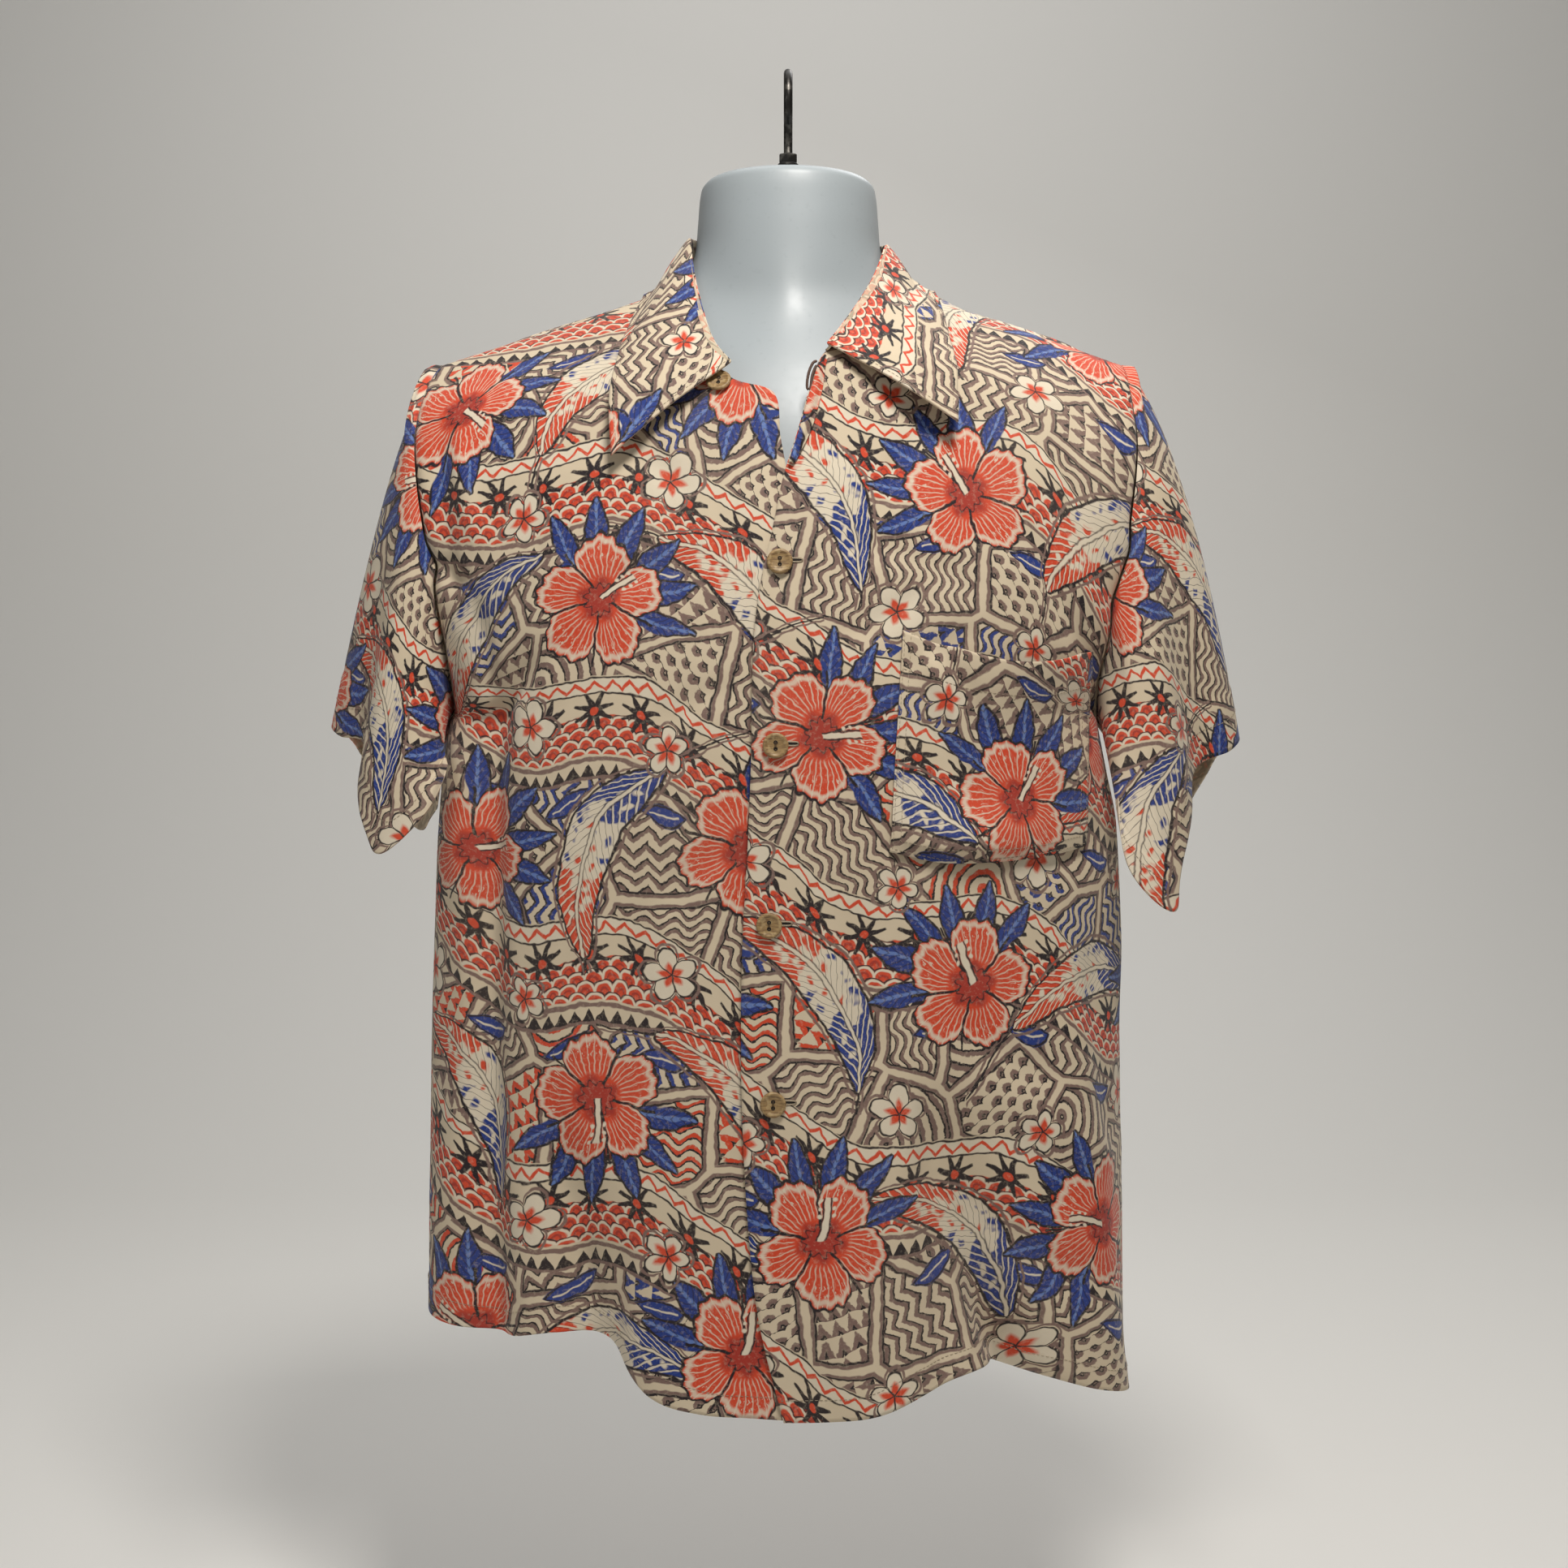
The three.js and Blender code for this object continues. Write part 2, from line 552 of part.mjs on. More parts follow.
/** The torso form: its rings closed by a flat base and a low crown. */
function makeForm() {
  const { grid } = formGrid(34, 40);
  const sides = gridSurface(grid, 1);
  const cap = (ring, centre, up) => {
    const triangles = [];
    for (let i = 1; i < ring.length; i += 1) {
      triangles.push(...(up ? [0, i, i + 1] : [0, i + 1, i]));
    }
    return { positions: [centre, ...ring], triangles };
  };
  const base = cap(grid[0], point(0, 0, FORM_BOTTOM), false);
  const crown = cap(grid[grid.length - 1], point(0, 0, FORM_CROWN), true);
  return closedGeometry(weld(sides, base, crown));
}

// The four quarters of the body, each as a fine grid that the pieces are taken from
const FINE_ROWS = 96;
const FINE_COLUMNS = 64;
const SEAM_SHARE = 0.9975; // a panel stops this share of its width and height short of a seam
const CENTRE_SHARE = 0.0012; // the back's two halves start this share from its centre line
const OVERLAP = CLOTH + LAYER_GAP + 1.2;
const quarter = (inner, outer, side, hem, folds, lift) =>
  panel(inner, outer, side, hem, folds, lift, FINE_ROWS, FINE_COLUMNS);
const LEFT_FRONT = quarter(LEFT_FRONT_EDGE, FRONT_SIDE, 1, HEM.leftFront, FOLDS.leftFront, OVERLAP);
const RIGHT_FRONT = quarter(RIGHT_FRONT_EDGE, FRONT_SIDE, -1, HEM.rightFront, FOLDS.rightFront, 0);
const LEFT_BACK = quarter(BACK_EDGE, BACK_SIDE, 1, HEM.leftBack, FOLDS.leftBack, 0);
const RIGHT_BACK = quarter(BACK_EDGE, BACK_SIDE, -1, HEM.rightBack, FOLDS.rightBack, 0);
const BODY_SURFACE = surfaceOf(LEFT_FRONT, RIGHT_FRONT, LEFT_BACK, RIGHT_BACK);

/** A coarser grid over part of a fine one, with a function that places each point. */
function resampled(rows, columns, place) {
  const grid = [];
  for (let j = 0; j <= rows; j += 1) {
    const row = [];
    for (let i = 0; i <= columns; i += 1) {
      row.push(place(i / columns, j / rows));
    }
    grid.push(row);
  }
  return grid;
}

/** A body panel's own wall, set back by half the seam gap at its seams, from a share across. */
function bodyPanel(quarterPanel, rows, columns, start = 0) {
  const grid = resampled(rows, columns, (u, share) => {
    const t = share + 0.35 * share * (1 - share); // closer rows over the shoulder
    return sample(quarterPanel.grid, start + u * (SEAM_SHARE - start), t * SEAM_SHARE);
  });
  return wall(weld(gridSurface(grid, quarterPanel.sign)), CLOTH);
}

/** The armhole as a ring of points, just outside the panels: shoulder, front, armpit, back. */
function armhole(front, back, side, steps) {
  const low = ARMPIT_ROW / LAST_ROW;
  const line = [];
  const fine = 60;
  for (let k = 0; k <= fine; k += 1) {
    line.push(sample(front.grid, 1, lerp(1, low, k / fine)));
  }
  for (let k = 1; k <= fine; k += 1) {
    line.push(sample(back.grid, 1, lerp(low, 1, k / fine)));
  }
  const ring = evenly(line, steps);
  const centre = ring.reduce((sum, p) => sum.add(p), point(0, 0, 0)).divideScalar(ring.length);
  return ring.map((p, i) => {
    const next = ring[i === steps ? 1 : i + 1];
    const before = ring[i === 0 ? steps - 1 : i - 1];
    const inwards = centre.clone().sub(p);
    const step = next.clone().sub(before).normalize();
    inwards.addScaledVector(step, -inwards.dot(step)).normalize();
    return p.clone().addScaledVector(inwards, SEAM_GAP + 0.4).add(point(side * SEAM_GAP, 0, 0));
  });
}

/** Value of a column of a cuff table, on a smooth closed curve, at a place around the ring. */
function cuffValue(cuff, name, around) {
  const count = cuff.length;
  let k = cuff.findIndex((row) => row.around > around) - 1;
  if (k < 0) {
    k = count - 1;
  }
  const start = cuff[k].around;
  const end = k === count - 1 ? 1 : cuff[k + 1].around;
  const f = (around - start) / (end - start);
  const at = (i) => cuff[(i + count) % count][name];
  const [a, b, c, d] = [at(k - 1), at(k), at(k + 1), at(k + 2)];
  return b + 0.5 * f * (c - a + f * (2 * a - 5 * b + 4 * c - d + f * (3 * (b - c) + d - a)));
}

/** A sleeve: each line runs from the armhole to the cuff on a quadratic curve. */
function sleeveGrid(front, back, cuff, side, rows, steps) {
  const ring = armhole(front, back, side, steps);
  const grid = resampled(rows, steps, (around, s) => {
    const from = ring[Math.round(around * steps)].clone();
    const wrapped = around >= 1 ? 0 : around;
    const value = (name) => cuffValue(cuff, name, wrapped);
    const end = point(side * value('x'), value('y'), value('z'));
    const control = from.clone().add(point(side * value('out'), value('fwd'), value('up')));
    const p = from.multiplyScalar((1 - s) ** 2);
    p.addScaledVector(control, 2 * s * (1 - s));
    p.addScaledVector(end, s * s);
    return keepClear(p, BODY_SURFACE, CLOTH + LAYER_GAP + 0.3 + 2.2 * smoothstep(s, 0, 0.2));
  });
  return { grid, sign: -side, normals: gridNormals(grid, -side, true) };
}

/** The neckline from the collar's end on the right front round the back to the left front. */
function neckline(steps) {
  const line = [];
  const fine = 40;
  const arc = (sheet, from, to) => {
    for (let k = 0; k <= fine; k += 1) {
      line.push(sample(sheet.grid, 0, lerp(from, to, k / fine) / LAST_ROW));
    }
  };
  arc(RIGHT_FRONT, RIGHT_COLLAR_ROW, LAST_ROW);
  arc(RIGHT_BACK, LAST_ROW, NECK_POINT_ROW);
  arc(LEFT_BACK, NECK_POINT_ROW, LAST_ROW);
  arc(LEFT_FRONT, LAST_ROW, NECK_POINT_ROW);
  return evenly(line, steps);
}

/** The collar: from the neckline up the stand, over the roll and down the fall. */
function collarGrid(rows, steps) {
  const seam = neckline(steps);
  const value = (name, c) => spline(column(COLLAR_STATIONS, name), c);
  const grid = resampled(rows, steps, (c, w) => {
    const foot = seam[Math.round(c * steps)].clone();
    foot.z += SEAM_GAP + 0.8;
    const roll = point(value('rollX', c), value('rollY', c), value('rollZ', c));
    const edge = point(value('edgeX', c), value('edgeY', c), value('edgeZ', c));
    const stand = foot.clone().lerp(roll, 0.55);
    const fall = roll.clone().lerp(edge, 0.4);
    const outward = point(roll.x, roll.y, 0).normalize();
    fall.addScaledVector(outward, 3);
    const stops = [foot, stand, roll, fall, edge];
    const p = point(...['x', 'y', 'z'].map((axis) => spline(column(stops, axis), w)));
    keepClear(p, FORM_SURFACE, COLLAR_CLOTH + 0.5);
    return w > 0.3 ? keepClear(p, BODY_SURFACE, COLLAR_CLOTH + LAYER_GAP + 0.6) : p;
  });
  return { grid, sign: -1, normals: gridNormals(grid, -1) };
}

/** Shares across and up a panel of its point seen from the front at x and z. */
function locate(sheet, x, z) {
  const side = Math.sign(sheet.grid[0][FINE_COLUMNS].x - sheet.grid[0][0].x);
  let [u, t] = [0.5, 0.4];
  for (let k = 0; k < 80; k += 1) {
    const p = sample(sheet.grid, u, t);
    u = clamp(u + (side * (x - p.x)) / 500, 0, 1);
    t = clamp(t + (z - p.z) / 1600, 0, 1);
  }
  return { u, t };
}

/** The pocket: points of the left front moved out, with a drooping, gaping mouth. */
function pocketGrid(rows, columns) {
  return resampled(rows, columns, (a, b) => {
    const value = (name) => spline(column(POCKET, name), a);
    const x = lerp(value('bottomX'), value('topX'), b);
    const z = lerp(value('bottomZ'), value('topZ'), b);
    const { u, t } = locate(LEFT_FRONT, x, z);
    const mouth = smoothstep(b, 0.5, 1) * Math.sin(Math.PI * a) ** 1.5 * POCKET_GAPE;
    const bag = Math.exp(-(((a - 0.35) / 0.28) ** 2) - ((b - 0.1) / 0.16) ** 2) * 5 * smoothstep(b, 0, 0.1);
    const away = sample(LEFT_FRONT.normals, u, t).normalize();
    const p = sample(LEFT_FRONT.grid, u, t);
    p.addScaledVector(away, CLOTH + LAYER_GAP + 0.6 + mouth + bag);
    return keepClear(p, BODY_SURFACE, CLOTH + LAYER_GAP + 0.9);
  });
}

/** The facing that shows where the left front's edge turns back below the collar. */
function facingGrid(rows, columns) {
  return resampled(rows, columns, (a, b) => {
    const t = lerp(10.3, 12.85, b) / LAST_ROW;
    const width = 0.035 * Math.sin(Math.PI * (0.12 + 0.75 * b)) ** 0.8;
    const u = 0.003 + a * width;
    const p = sample(LEFT_FRONT.grid, u, t);
    const away = sample(LEFT_FRONT.normals, u, t).normalize();
    const curl = 1.8 * Math.sin(Math.PI * Math.min(a + 0.15, 1));
    return p.addScaledVector(away, CLOTH + LAYER_GAP + curl);
  });
}

const wasm = await Module();
wasm.setup();

/** A solid for boolean work from a closed geometry. */
function solidOf(geometry) {
  const bare = geometry.clone();
  bare.deleteAttribute('normal');
  bare.deleteAttribute('uv');
  const merged = BufferGeometryUtils.mergeVertices(bare, 1e-4);
  const vertProperties = new Float32Array(merged.attributes.position.array);
  const triVerts = new Uint32Array(merged.index.array);
  return new wasm.Manifold(new wasm.Mesh({ numProp: 3, vertProperties, triVerts }));
}

/** A geometry from a boolean solid. */
function geometryOf(solid) {
  const mesh = solid.getMesh();
  const geometry = new THREE.BufferGeometry();
  geometry.setAttribute('position', new THREE.BufferAttribute(new Float32Array(mesh.vertProperties), 3));
  geometry.setIndex(new THREE.BufferAttribute(new Uint32Array(mesh.triVerts), 1));
  return geometry;
}

/** A round button with a raised rim, a dished middle and two holes, facing +Y of its own. */
function buttonGeometry() {
  const half = BUTTON_THICKNESS / 2;
  const profile = [
    [0, -half],
    [BUTTON_RADIUS * 0.82, -half],
    [BUTTON_RADIUS, -half * 0.15],
    [BUTTON_RADIUS * 0.93, half * 0.8],
    [BUTTON_RADIUS * 0.8, half],
    [BUTTON_RADIUS * 0.62, half * 0.45],
    [0, half * 0.2],
  ];
  const segments = 14;
  const disc = new THREE.LatheGeometry(profile.map(([r, y]) => new THREE.Vector2(r, y)), segments);
  let solid = solidOf(disc);
  for (const side of [-1, 1]) {
    const hole = new THREE.CylinderGeometry(1.05, 1.05, BUTTON_THICKNESS * 2, 8);
    hole.translate(0, 0, side * 1.9);
    solid = solid.subtract(solidOf(hole));
  }
  return geometryOf(solid);
}

/** A tube of round section along points. */
function tube(stops, radius, sides, steps, closed = false) {
  const path = new THREE.CatmullRomCurve3(stops, closed, 'centripetal');
  const section = new THREE.Shape();
  for (let k = 0; k < sides; k += 1) {
    const angle = (2 * Math.PI * k) / sides;
    const move = k === 0 ? 'moveTo' : 'lineTo';
    section[move](radius * Math.cos(angle), radius * Math.sin(angle));
  }
  return new THREE.ExtrudeGeometry(section, { steps, bevelEnabled: false, extrudePath: path });
}

const WIRE_RADIUS = 3;
const HOOK_RADIUS = 19; // middle of the wire
const SHANK_FOOT = FORM_CROWN + 0.3;

/** The hook: a straight shank that rises from the crown and turns over towards the back. */
function hookGeometry() {
  const centre = HOOK_HEIGHT + WIRE_RADIUS - HOOK_RADIUS;
  const stops = [point(0, 0, SHANK_FOOT), point(0, 0, 428), point(0, 0, 438), point(0, -5, centre - 16)];
  const turns = 9;
  for (let k = 0; k <= turns; k += 1) {
    const angle = lerp(-145, -385, k / turns) * THREE.MathUtils.DEG2RAD;
    stops.push(point(0, HOOK_RADIUS * Math.cos(angle), centre + HOOK_RADIUS * Math.sin(angle)));
  }
  return tube(stops, WIRE_RADIUS, 9, 26);
}

/** The nut on the shank: a washer under a hexagon, bored clear of the wire. */
function nutGeometry() {
  const washer = new THREE.CylinderGeometry(8, 8, 1.6, 24);
  washer.rotateX(Math.PI / 2);
  washer.translate(0, 0, SHANK_FOOT + 0.9);
  const hexagon = new THREE.CylinderGeometry(7.4, 7.4, 9, 6);
  hexagon.rotateX(Math.PI / 2);
  hexagon.translate(0, 0, SHANK_FOOT + 6.1);
  const bore = new THREE.CylinderGeometry(WIRE_RADIUS + 0.3, WIRE_RADIUS + 0.3, 40, 16);
  bore.rotateX(Math.PI / 2);
  bore.translate(0, 0, SHANK_FOOT + 6);
  return geometryOf(solidOf(washer).add(solidOf(hexagon)).subtract(solidOf(bore)));
}

/** Places a button flat on a panel, at x and z as seen from the front. */
function onPanel(mesh, sheet, x, z, lift) {
  const { u, t } = locate(sheet, x, z);
  const away = sample(sheet.normals, u, t).normalize();
  mesh.position.copy(sample(sheet.grid, u, t).addScaledVector(away, lift));
  mesh.quaternion.setFromUnitVectors(point(0, 1, 0), away);
  return mesh;
}

/** The cord loop at the left front's neck corner. */
function loopGeometry() {
  const corner = sample(LEFT_FRONT.grid, 0, 12.6 / LAST_ROW);
  const [x, y, z] = [corner.x - 4.6, corner.y - 2.4, corner.z];
  const stops = [
    point(x, y, z + 3),
    point(x - 2.2, y - 0.6, z - 2),
    point(x - 3.2, y - 0.8, z - 9),
    point(x - 1.6, y - 0.8, z - 14),
    point(x + 0.6, y - 0.8, z - 9),
    point(x + 1.2, y - 0.6, z - 3),
  ];
  return tube(stops, 0.9, 8, 20);
}

const figure = new THREE.Group();
figure.position.z = -HOOK_HEIGHT;

/** Adds a named mesh with its own material to the figure. */
function piece(name, geometry, look) {
  const mesh = new THREE.Mesh(geometry, new THREE.MeshStandardMaterial(look));
  mesh.name = name;
  figure.add(mesh);
  return mesh;
}

piece('torso_form', makeForm(), PLASTIC);
piece('hook', hookGeometry(), STEEL);
piece('nut', nutGeometry(), STEEL);
piece('front_left', bodyPanel(LEFT_FRONT, 28, 18), PRINT);
piece('front_right', bodyPanel(RIGHT_FRONT, 28, 18), PRINT);
piece('back_left', bodyPanel(LEFT_BACK, 26, 14, CENTRE_SHARE), PRINT);
piece('back_right', bodyPanel(RIGHT_BACK, 26, 14, CENTRE_SHARE), PRINT);
const sleeveLeft = sleeveGrid(LEFT_FRONT, LEFT_BACK, LEFT_CUFF, 1, 10, 36);
const sleeveRight = sleeveGrid(RIGHT_FRONT, RIGHT_BACK, RIGHT_CUFF, -1, 10, 36);
piece('sleeve_left', wall(weld(gridSurface(sleeveLeft.grid, sleeveLeft.sign)), CLOTH), PRINT);
piece('sleeve_right', wall(weld(gridSurface(sleeveRight.grid, sleeveRight.sign)), CLOTH), PRINT);
const collar = collarGrid(8, 36);
piece('collar', wall(weld(gridSurface(collar.grid, collar.sign)), COLLAR_CLOTH), PRINT);
piece('pocket', wall(weld(gridSurface(pocketGrid(10, 10), 1)), CLOTH), PRINT);
piece('facing_left', wall(weld(gridSurface(facingGrid(8, 3), 1)), CLOTH), PRINT);
piece('collar_loop', loopGeometry(), PRINT);
for (const { name, x, z } of BUTTONS) {
  const sheet = x < -20 ? RIGHT_FRONT : LEFT_FRONT;
  onPanel(piece(name, buttonGeometry(), HORN), sheet, x, z, BUTTON_THICKNESS / 2 + 0.5);
}

export default figure;
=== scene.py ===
"""Looks for a short-sleeved printed shirt on a hanging torso form.

Lengths in the tables are millimetres and heights count from the chest line, as in
the CAD source; metres() lowers them so that the hook's bearing point is the origin.
"""

import math

import bmesh
import bpy
import numpy as np
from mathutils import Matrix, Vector


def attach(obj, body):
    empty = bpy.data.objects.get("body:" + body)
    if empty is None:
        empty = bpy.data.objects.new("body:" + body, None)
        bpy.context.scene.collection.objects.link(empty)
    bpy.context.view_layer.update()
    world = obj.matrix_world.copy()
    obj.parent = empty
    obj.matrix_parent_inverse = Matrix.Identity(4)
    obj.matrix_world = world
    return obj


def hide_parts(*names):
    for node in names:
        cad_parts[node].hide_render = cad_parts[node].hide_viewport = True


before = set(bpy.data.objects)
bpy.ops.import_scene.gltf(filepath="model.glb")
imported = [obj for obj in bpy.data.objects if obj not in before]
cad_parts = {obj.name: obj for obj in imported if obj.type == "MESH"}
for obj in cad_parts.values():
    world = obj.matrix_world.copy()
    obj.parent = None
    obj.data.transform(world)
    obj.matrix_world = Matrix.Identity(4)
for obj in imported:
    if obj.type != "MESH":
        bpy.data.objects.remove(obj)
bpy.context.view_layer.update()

# Driving sizes
HOOK_HEIGHT = 481.0  # bearing point of the hook above the chest line
CLOTH = 1.0  # thickness of the shown cloth
CAD_CLOTH = 1.4  # wall of the solid that the shown cloth stands for
FORM_GAP = 1.5  # least gap between the cloth and the form
LAYER_GAP = 0.5  # gap under a layer that lies on another
SEAM_GAP = 0.4  # gap between pieces that are sewn together
OVERLAP = CAD_CLOTH + LAYER_GAP + 1.2  # rise of the left front over the right one
HEM_LEVEL = -392.0
LEAN, LEAN_FROM, LEAN_FULL = -8.0, 330.0, 240.0
HEM_REACH = 0.22
ARMPIT_ROW = 6
NECK_POINT_ROW = 13
RIGHT_COLLAR_ROW = 13.25
BUTTON_THICKNESS = 2.8

# Edges of the panels from the hem to the neck point: x, y, z from the shirt's centre
LEFT_FRONT_EDGE = [
    (5, -132, HEM_LEVEL), (-12, -131, -320), (-20, -130, -220), (-21, -130, -120),
    (-17, -131, -35), (-15, -131, 18), (-14.5, -131, 58), (-13, -130, 95),
    (-8.5, -127, 128), (-1.5, -123, 160), (4.5, -118, 190), (13, -111, 218),
    (20.5, -104, 246), (28.5, -95, 272), (56, -66, 299), (70, -38, 322), (74, -12, 337),
]
RIGHT_FRONT_EDGE = [
    (-18, -132, HEM_LEVEL), (-18, -131, -320), (-18, -130, -220), (-18, -130, -120),
    (-18, -131, -35), (-18, -131, 18), (-18, -131, 58), (-18, -130, 95),
    (-17, -127, 128), (-13, -122, 160), (-8, -116, 190), (-3, -109, 218),
    (1.5, -101, 247), (30, -92, 259), (56, -66, 290), (70, -38, 319), (74, -12, 337),
]
BACK_EDGE = [
    (0, 118, HEM_LEVEL), (0, 117, -320), (0, 116, -220), (0, 115, -120),
    (0, 114, -35), (0, 113, 18), (0, 112, 58), (0, 111, 97),
    (0, 110, 136), (0, 108, 176), (0, 104, 216), (0, 96, 256),
    (0, 83, 296), (0, 67, 331), (44, 54, 334), (69, 25, 338), (74, -12, 337),
]
# Side seam and armhole: x, y, z and the exponent of the row's curve
FRONT_SIDE = [
    (235, 8, HEM_LEVEL, 2.35), (235, 8, -320, 2.35), (234.5, 9, -220, 2.35), (232.5, 10, -120, 2.35),
    (229, 10, -38, 2.35), (225, 10, 10, 2.35), (221, 10, 42, 2.3), (215, -24, 53, 2.1),
    (216, -48, 82, 1.9), (222, -61, 120, 1.7), (228, -65, 158, 1.5), (234, -62, 196, 1.4),
    (237, -54, 226, 1.3), (236, -42, 250, 1.2), (234, -30, 267, 1.1), (232, -20, 278, 1.05),
    (230, -12, 284, 1.0),
]
BACK_SIDE = [
    (235, 8, HEM_LEVEL, 2.35), (235, 8, -320, 2.35), (234.5, 9, -220, 2.35), (232.5, 10, -120, 2.35),
    (229, 10, -38, 2.35), (225, 10, 10, 2.35), (221, 10, 42, 2.3), (218, 42, 52, 2.2),
    (218, 62, 80, 2.0), (223, 74, 118, 1.85), (229, 78, 158, 1.7), (234, 76, 198, 1.5),
    (238, 66, 232, 1.35), (238, 50, 258, 1.2), (236, 32, 274, 1.1), (233, 10, 284, 1.05),
    (230, -12, 284, 1.0),
]
LAST_ROW = len(FRONT_SIDE) - 1
# Where the pieces were cut from the printed cloth, across and up
RIGHT_FRONT_PRINT, BACK_PRINT, SLEEVE_PRINT, COLLAR_PRINT = [46, 71], [37, 58], [70, 262], [25, 210]
POCKET_PRINT, FACING_PRINT = [63, 41], [31, 77]
HEM = {
    "left_front": [-392, -391, -387, -376, -366, -368, -378, -389, -395, -394, -389],
    "right_front": [-392, -390, -387, -378, -349, -345, -350, -350, -348, -346, -343],
    "left_back": [-398, -398, -398, -399, -400, -401, -400, -398, -396, -393, -389],
    "right_back": [-398, -398, -397, -396, -394, -391, -386, -379, -370, -358, -343],
}
# Largest folds: low, high, across low, across high, depth low, depth high, width
FOLDS = {
    "left_front": [
        (0, 0.16, 0.52, 0.38, -40, -3, 0.075), (0, 0.2, 0.76, 0.68, 12, 4, 0.09),
        (0, 0.17, 0.2, 0.22, 5, 1, 0.1), (0.26, 0.5, 0.95, 0.92, -3, -6, 0.06),
    ],
    "right_front": [
        (0, 0.52, 0.65, 0.7, -13, -11, 0.05), (0, 0.46, 0.79, 0.82, 6, 4, 0.08),
        (0, 0.13, 0.42, 0.46, -22, -3, 0.07), (0, 0.16, 0.22, 0.26, 5, 1, 0.09),
    ],
    "left_back": [
        (0, 0.22, 0.2, 0.16, -18, -3, 0.08), (0, 0.3, 0.4, 0.36, 9, 2, 0.08),
        (0, 0.46, 0.6, 0.68, -20, -7, 0.07),
    ],
    "right_back": [
        (0, 0.2, 0.3, 0.24, -22, -4, 0.08), (0, 0.3, 0.5, 0.47, 8, 3, 0.08),
        (0, 0.46, 0.7, 0.74, -15, -8, 0.06),
    ],
}
# Form: z, half width, front, back, exponent of the section
FORM = [
    (-300, 166, 92, 92, 2.3), (-297, 173, 99, 98, 2.3), (-286, 176, 102, 101, 2.3),
    (-220, 172, 103, 100, 2.3), (-140, 163, 104, 95, 2.25), (-60, 166, 109, 94, 2.25),
    (10, 176, 115, 97, 2.3), (70, 184, 119, 100, 2.3), (120, 192, 118, 101, 2.3),
    (165, 203, 113, 100, 2.2), (205, 212, 105, 97, 2.1), (238, 218, 96, 90, 1.95),
    (262, 218, 87, 82, 1.75), (281, 211, 78, 75, 1.5), (295, 195, 71, 69, 1.35),
    (307, 163, 66, 65, 1.28), (318, 126, 62, 62, 1.3), (328, 92, 59.5, 60.5, 1.5),
    (340, 69, 57.5, 59, 1.95), (358, 63.5, 56, 57.5, 2.05), (380, 61.5, 54.5, 56, 2.1),
    (398, 60, 53, 54.5, 2.1), (405.5, 57.5, 50.5, 52, 2.1), (409, 50, 43, 44.5, 2.1),
    (411.5, 26, 22, 23, 2),
]
FORM_CROWN, FORM_BOTTOM = 412.0, -300.0
# Cuffs: place around, x, y, z of the cuff's edge, and how the cloth leaves the armhole
LEFT_CUFF = [
    (0, 305, 6, 32, 37, 0, -32), (0.09, 295, -27, 22, 33, -6, -34), (0.17, 268, -40, 6, 17, -10, -40),
    (0.25, 257, -66, -45, 14, -14, -50), (0.33, 248, -80, -82, 9, -22, -50),
    (0.4, 218, -84, -54, 2, -30, -30), (0.46, 215, -66, -4, 6, -26, -14),
    (0.53, 240, 2, -2, 10, 0, -14), (0.62, 242, 52, -34, 12, 8, -22),
    (0.72, 256, 68, -62, 14, 10, -40), (0.86, 292, 48, 0, 30, 8, -36),
]
RIGHT_CUFF = [
    (0, 309, 6, 40, 20, 0, -26), (0.09, 300, -24, 32, 20, -6, -30), (0.17, 281, -38, 24, 17, -10, -40),
    (0.25, 277, -66, -22, 15, -14, -50), (0.33, 263, -78, -45, 10, -22, -50),
    (0.4, 232, -82, -18, 3, -30, -26), (0.46, 221, -68, 12, 6, -26, -12),
    (0.53, 246, 2, 4, 10, 0, -12), (0.62, 248, 50, -18, 12, 8, -20),
    (0.72, 266, 66, -32, 14, 10, -40), (0.86, 297, 46, 14, 20, 8, -34),
]
# Collar: the roll at the top of the stand and the outer edge, right end to left end
COLLAR = [
    (-38, -96, 267, -109, -103, 203), (-50, -76, 287, -112, -88, 243), (-61, -42, 330, -106, -56, 293),
    (-66, -12, 366, -96, -14, 324), (-65, 16, 376, -90, 30, 328), (-41, 56, 377, -62, 82, 320),
    (0, 69, 377, 0, 101, 313), (41, 56, 375, 62, 82, 319), (66, 16, 372, 90, 30, 326),
    (65, -14, 362, 95, -14, 322), (56, -44, 334, 102, -54, 294), (42, -76, 304, 105, -84, 254),
    (27, -103, 277, 103, -104, 223),
]
# Pocket from its inner to its outer edge: x and z of the mouth, x and z of the bottom
POCKET = [
    (70.5, 95, 62, -42), (98, 84.5, 95, -49), (131, 77.5, 127, -49), (164, 79, 159, -46),
    (196, 86.5, 191, -40),
]
POCKET_GAPE = 11.0
BUTTONS = [
    ("button_1", -44, 255), ("button_2", -5.5, 137), ("button_3", -8, 23.5),
    ("button_4", -12, -87), ("button_5", -9.5, -197),
]


def spline(table, t):
    """Catmull-Rom through equally spaced rows: b + f/2 (c-a + f (2a-5b+4c-d + f (3(b-c)+d-a)))."""
    rows = np.asarray(table, float)
    rows = rows[:, None] if rows.ndim == 1 else rows
    last = len(rows) - 1
    place = np.clip(t, 0, 1) * last
    i = np.minimum(place.astype(int), last - 1)
    f = (place - i)[..., None]
    a, b, c, d = (rows[np.clip(i + k, 0, last)] for k in (-1, 0, 1, 2))
    out = b + 0.5 * f * (c - a + f * (2 * a - 5 * b + 4 * c - d + f * (3 * (b - c) + d - a)))
    return out[..., 0] if out.shape[-1] == 1 else out


